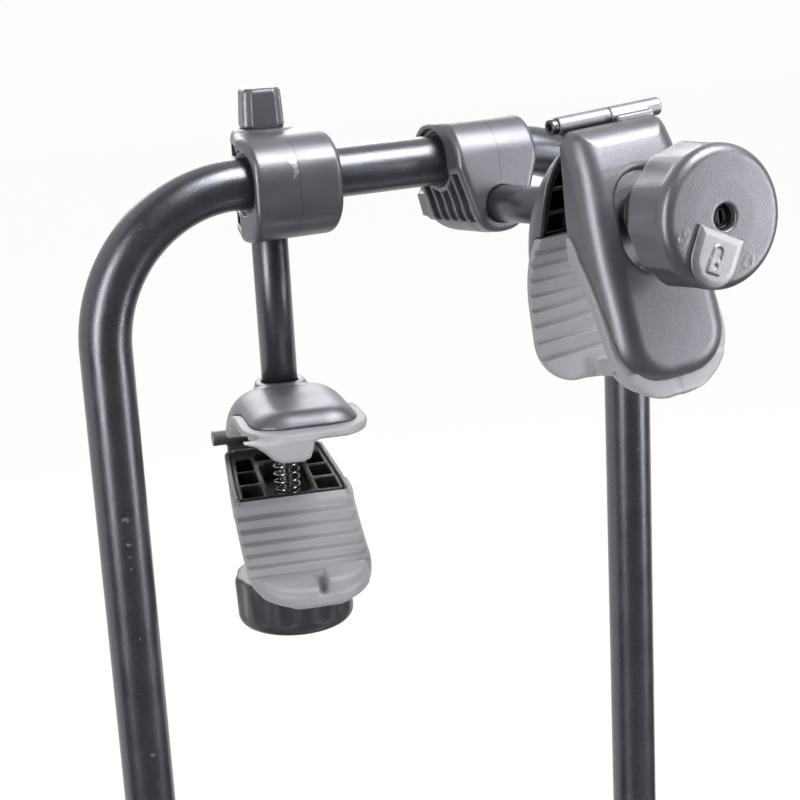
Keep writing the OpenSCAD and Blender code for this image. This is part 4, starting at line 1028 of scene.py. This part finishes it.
def housing_shape(x, y, z):
    side = np.abs(x)
    body = both(both(side - HOUSING_X, np.abs(y) - HOUSING_Y, 10.0), slab(z, HOUSING_LOW, HOUSING_TOP), 5.0)
    panel = both(both(np.abs(y) - 30, np.abs(z - 12) - 17, 6.0), 36.6 - side)
    body = without(body, panel, 0.8)
    back = both(np.abs(z - TILT_Z) - 22, -88 - y, 12.0)
    plate = both(both(back, y + 40), slab(side, 26, 36), 1.5)
    cheek = both(np.hypot(y - LEVER_Y, np.maximum(z - LEVER_Z, 0)) - 13, 38 - z)
    cheek = both(cheek, slab(side, 13.3, 23.3), 1.5)
    body = either(either(body, plate, 3.0), cheek, 3.0)
    cup = np.where(z < 0, np.hypot(x, y), np.sqrt(x * x + y * y + z * z)) - BALL_HOLE_R
    body = without(body, cup, 1.0)
    body = without(body, both(both(side - 15.3, 10 - y), z - 12.3), 0.8)
    body = without(body, np.hypot(y - TILT_Y, z - TILT_Z) - TILT_HOLE_R)
    return without(body, np.hypot(y - LEVER_Y, z - LEVER_Z) - LEVER_HOLE_R)


black_coat = finish("black powder coat", (0.022, 0.023, 0.026), 0.42, metal=0.2, grain=0.0012, depth=0.00010,
                    cloud=0.18)
world_place = Matrix.Scale(MM, 4)
fitted("coupling_head", moulding(housing_shape, (-38, -88, -21), (38, 45, 69), 1.3), world_place, black_coat,
       "coupling", ["coupling_housing"])

# Coupling lever: a red coated steel arm with a moulded grip, pulled down to lock
# the jaw under the ball. It turns on a steel pin between the cheeks.
def lever_shape(x, y, z):
    side = np.abs(x)
    hub = both(np.hypot(y - LEVER_Y, z - LEVER_Z) - 11, side - 13, 1.2)
    arm = both(both(side - 9, slab(z, 64, 70), 2.0), slab(y, LEVER_END + 5, 32), 2.0)
    gutter = both(both(side - 5.5, slab(y, -100, 8), 3.0), 68.2 - z, 0.8)
    grip = both(both(side - 13, slab(z, 63, 73), 4.0), slab(y, LEVER_END, LEVER_END + 70), 5.0)
    notches = both(both(np.abs(np.mod(y, 9) - 4.5) - 1.3, slab(y, LEVER_END + 8, LEVER_END + 60)), 71.6 - z, 0.6)
    eye = both(np.hypot(x, y - LEVER_END - 8) - 3.0, side - 9)
    grip = without(without(grip, both(notches, side - 9.5), 0.6), eye, 0.6)
    body = either(either(hub, without(arm, gutter, 0.8), 3.0), grip, 2.0)
    return without(body, np.hypot(y - LEVER_Y, z - LEVER_Z) - LEVER_HOLE_R, 0.4)


lever_red = finish("red lever coat", (0.42, 0.030, 0.022), 0.36, grain=0.0012, depth=0.00008, cloud=0.10)
fitted("lever_arm", moulding(lever_shape, (-13, LEVER_END, 45), (13, 41, 73), 1.0), world_place, lever_red,
       "lever", ["clamp_lever"])

# Jaw and pins: a machined steel jaw that slides under the tow ball to lock it,
# and two plain steel pins that the lever and the platform turn on.
def softened(node, material, width, segments=2):
    """Rounds the sharp edges of a CAD solid by width metres and gives it its finish"""
    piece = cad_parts[node]
    piece.data.materials.clear()
    piece.data.materials.append(material)
    weld = piece.modifiers.new("joined corners", "WELD")
    weld.merge_threshold = 0.00002
    bevel = piece.modifiers.new("rounded edges", "BEVEL")
    bevel.width, bevel.segments = width, segments
    bevel.limit_method = "ANGLE"
    bevel.angle_limit = math.radians(50)
    bevel.harden_normals = True


bright_steel = finish("machined steel", (0.46, 0.46, 0.48), 0.30, metal=1.0, grain=0.0006, depth=0.00003, cloud=0.12)
softened("coupling_jaw", bright_steel, 0.0015)
for node in ("lever_pin", "tilt_pin"):
    softened(node, bright_steel, 0.0006)

# Beam and cross tubes: square steel tubes, black coated, with plastic plugs
# in the open ends of the two cross tubes.
BAR, BAR_WALL = 30.0, 2.0
for node in ("main_beam", "front_cross_tube", "rear_cross_tube", "left_side_tube", "right_side_tube"):
    softened(node, black_coat, 0.002, 3)
end_plug = finish("black plug plastic", (0.016, 0.016, 0.018), 0.5, grain=0.0010, depth=0.00008)


def plug_shape(x, y, z):
    half = BAR / 2 - BAR_WALL - 0.3
    peg = both(both(np.abs(y) - half, np.abs(z) - half, 1.5), slab(x, -16, 0), 0.5)
    core = both(both(np.abs(y) - half + 2.2, np.abs(z) - half + 2.2, 1.0), x + 3.0)
    fins = both(np.abs(np.mod(x, 4.0) - 2.0) - 1.1, np.maximum(np.abs(y), np.abs(z)) - half - 5)
    grip = both(peg, np.minimum(fins, np.maximum(np.abs(y), np.abs(z)) - half + 1.0), 0.2)
    dish = both(np.hypot(y, z) - 7.0, -0.9 - x, 0.6)
    return without(without(grip, core, 0.3), dish, 0.3)


plug_skin = moulding(plug_shape, (-16, -13, -13), (0, 13, 13), 0.8)
for node in ("front_cross_tube", "rear_cross_tube"):
    low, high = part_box(node)
    for name, x, turn in (("left", low[0], 180), ("right", high[0], 0)):
        middle = Vector((x, (low[1] + high[1]) / 2, (low[2] + high[2]) / 2))
        place = Matrix.Translation(middle) @ turned("Z", turn) @ world_place @ Matrix.Translation((-0.2, 0, 0))
        fitted(f"{name}_{node}_plug", plug_skin, place, end_plug, "platform", [])

# Fold joint: bent brackets hold the frame's legs, and two star-headed pins
# let the frame fold down over the platform.
STAR_R, STAR_T, LOBES, LOBE_GAP_R, LOBE_GAP_OUT = 21.0, 14.0, 5, 8.0, 24.0


def facing(skin, sign):
    """The skin with its faces turned round where sign is -1, for a place that mirrors it"""
    points, faces = skin
    return points, faces[:, ::sign]


def star_shape(x, y, z):
    r = np.hypot(y, z)
    knob = both(r - STAR_R, slab(x, 0, STAR_T), 4.0)
    for k in range(LOBES):
        a = 2 * math.pi * k / LOBES
        gap = np.hypot(y - LOBE_GAP_OUT * math.cos(a), z - LOBE_GAP_OUT * math.sin(a)) - LOBE_GAP_R
        knob = without(knob, gap, 3.0)
    dish = both(r - 8.0, STAR_T - 1.2 - x, 0.8)
    knob = without(knob, dish, 0.5)
    dome = both(r - 6.0, np.hypot(x - STAR_T + 10.5, r) - 10.5, 0.3)
    knob = np.minimum(knob, both(dome, STAR_T - 3 - x))
    pin = both(r - 5.0, slab(x, -44.2, 1), 0.8)
    return either(knob, pin, 0.4)


star_skin = moulding(star_shape, (-45, -STAR_R, -STAR_R), (STAR_T, STAR_R, STAR_R), 1.0)
for side, sign in (("left", -1), ("right", 1)):
    softened(f"{side}_fold_bracket", black_coat, 0.001)
    low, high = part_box(f"{side}_fold_pin")
    edge = high[0] if sign > 0 else low[0]
    place = (Matrix.Translation((edge, FRAME_Y * MM, (low[2] + high[2]) / 2))
             @ Matrix.Diagonal((sign, 1, 1, 1)) @ world_place @ Matrix.Translation((-STAR_T, 0, 0)))
    fitted_side(side, "star_pin", facing(star_skin, sign), place, end_plug, "pin", "fold_pin")

# Wheel rails: rolled aluminium channels on the platform, closed by black end
# caps, with two ratchet straps each to tie the wheels down.
rail_metal = finish("brushed rail aluminium", (0.52, 0.53, 0.545), 0.38, metal=1.0, grain=0.0009, depth=0.00004,
                    cloud=0.06)
for end in ("front", "rear"):
    softened(f"{end}_rail", rail_metal, 0.0008)
    softened(f"{end}_rail_caps", end_plug, 0.002, 3)

# Wheel straps: black plastic bands with teeth that arch over each rail and are
# held by a ratchet buckle, moulded with a thumb lever, at the rail's side.
STRAP_X, RAIL_TOP_Z, STRAP_R, STRAP_RISE, STRAP_FOOT = 400.0, 60.2, 40.7, 45.0, 16.0


def strap_shape(x, y, z):
    side = np.abs(x)
    ring = np.hypot(y, np.maximum(z - STRAP_RISE, 0))
    run = np.where(z > STRAP_RISE, STRAP_R * np.arctan2(z - STRAP_RISE, np.abs(y) + 0.01), z - STRAP_RISE)
    tooth = np.clip(np.abs(np.mod(run, 4.0) - 2.0), 0, 1) * (side < 9)
    band = np.maximum(STRAP_R - 2.5 - ring, ring - STRAP_R + 0.6 * tooth)
    band = both(both(band, side - 12, 0.6), STRAP_FOOT - z, 0.5)
    room = slab(z, STRAP_FOOT, STRAP_FOOT + 34)
    cheek = both(both(slab(side, 12.2, 15), slab(y, -49.7, -40.7), 1.2), room, 2.5)
    base = both(both(side - 14, slab(y, -43.4, -40.7), 0.6), room, 1.5)
    thumb = y + 44.6 + 0.13 * (z - STRAP_FOOT)
    lever = both(both(side - 11.6, slab(thumb, -1.3, 1.3), 0.8), slab(z, STRAP_FOOT + 3, STRAP_FOOT + 34), 1.5)
    grip = both(np.abs(np.mod(z, 3.0) - 1.5) - 0.6, both(STRAP_FOOT + 24 - z, thumb + 0.7))
    pin = both(np.hypot(y + 46, z - STRAP_FOOT - 12) - 2.2, side - 15.0)
    buckle = np.minimum(np.minimum(cheek, base), np.minimum(without(lever, grip, 0.3), pin))
    return np.minimum(band, buckle)


strap_black = finish("black strap plastic", (0.018, 0.018, 0.020), 0.48, grain=0.0011, depth=0.00012)
strap_skin = moulding(strap_shape, (-15, -49.7, 16), (15, 40.7, 85.7), 0.9)
for end, rail_y in (("front", -280.0), ("rear", -480.0)):
    for name, sign in (("left", -1), ("right", 1)):
        place = world_place @ Matrix.Translation((sign * STRAP_X, rail_y, RAIL_TOP_Z))
        fitted(f"{end}_{name}_strap", strap_skin, place, strap_black, "platform",
               [f"{end}_wheel_straps"] if sign < 0 else [])

# Lamp board: a black plastic board behind the platform, dished for the number
# plate, that the two tail lamps are screwed to.
softened("lamp_board", end_plug, 0.002, 3)

# Tail lamps: black plastic housings, each closed by three ribbed lenses:
# amber for turning, red for driving and braking, clear for reversing.
LAMP_W, LAMP_H, LAMP_D, LAMP_INNER, LAMP_Y, LAMP_Z = 200.0, 116.0, 46.0, 280.2, -577.2, 12.0
LENS_D = 13.0


def lamp_body_shape(x, y, z):
    wide, tall = np.abs(x - LAMP_W / 2) - LAMP_W / 2, np.abs(z) - LAMP_H / 2
    body = both(both(wide, tall, 9.0), slab(y, LENS_D - 3, 30), 2.0)
    back = both(both(wide + 12, tall + 12, 9.0), slab(y, 20, LAMP_D), 4.0)
    rib = both(both(np.abs(np.mod(x, 25) - 12.5) - 1.2, tall + 4), slab(y, 28, 37), 0.8)
    return either(either(body, back, 4.0), both(rib, wide + 8), 1.0)


def lens_shape(x, y, z):
    side = np.abs(x) - (LAMP_W / 6 - 1.2)
    body = both(both(side, np.abs(z) - LAMP_H / 2 + 1.5, 8.0), slab(y, 0, LENS_D), 3.0)
    field = both(y - 0.7, both(side + 6, np.abs(z) - 48, 4.0))
    rib = both(np.abs(np.mod(z, 7.0) - 3.5) - 0.6, field, 0.3)
    return without(body, rib, 0.4)


def lens_finish(name, colour):
    return finish(name, colour, 0.14, grain=0.0016, depth=0.00005, cloud=0.06, coat=0.5)


lens_finishes = (
    ("reversing", lens_finish("clear lamp lens", (0.55, 0.56, 0.57))),
    ("tail", lens_finish("red lamp lens", (0.36, 0.010, 0.009))),
    ("turning", lens_finish("amber lamp lens", (0.62, 0.17, 0.010))),
)
lamp_body_skin = moulding(lamp_body_shape, (0, 10, -58), (200, 46, 58), 2.2)
lens_skin = moulding(lens_shape, (-33, 0, -57), (33, 13, 57), 1.3)
for side, sign in (("left", -1), ("right", 1)):
    place = world_place @ Matrix.Diagonal((sign, 1, 1, 1)) @ Matrix.Translation((LAMP_INNER, LAMP_Y, LAMP_Z))
    fitted(f"{side}_lamp_body", facing(lamp_body_skin, sign), place, end_plug, "platform", [f"{side}_lamp"])
    for k, (use, lens) in enumerate(lens_finishes):
        spot = place @ Matrix.Translation((LAMP_W * (k + 0.5) / 3, 0, 0))
        fitted(f"{side}_{use}_lens", facing(lens_skin, sign), spot, lens, "platform", [])
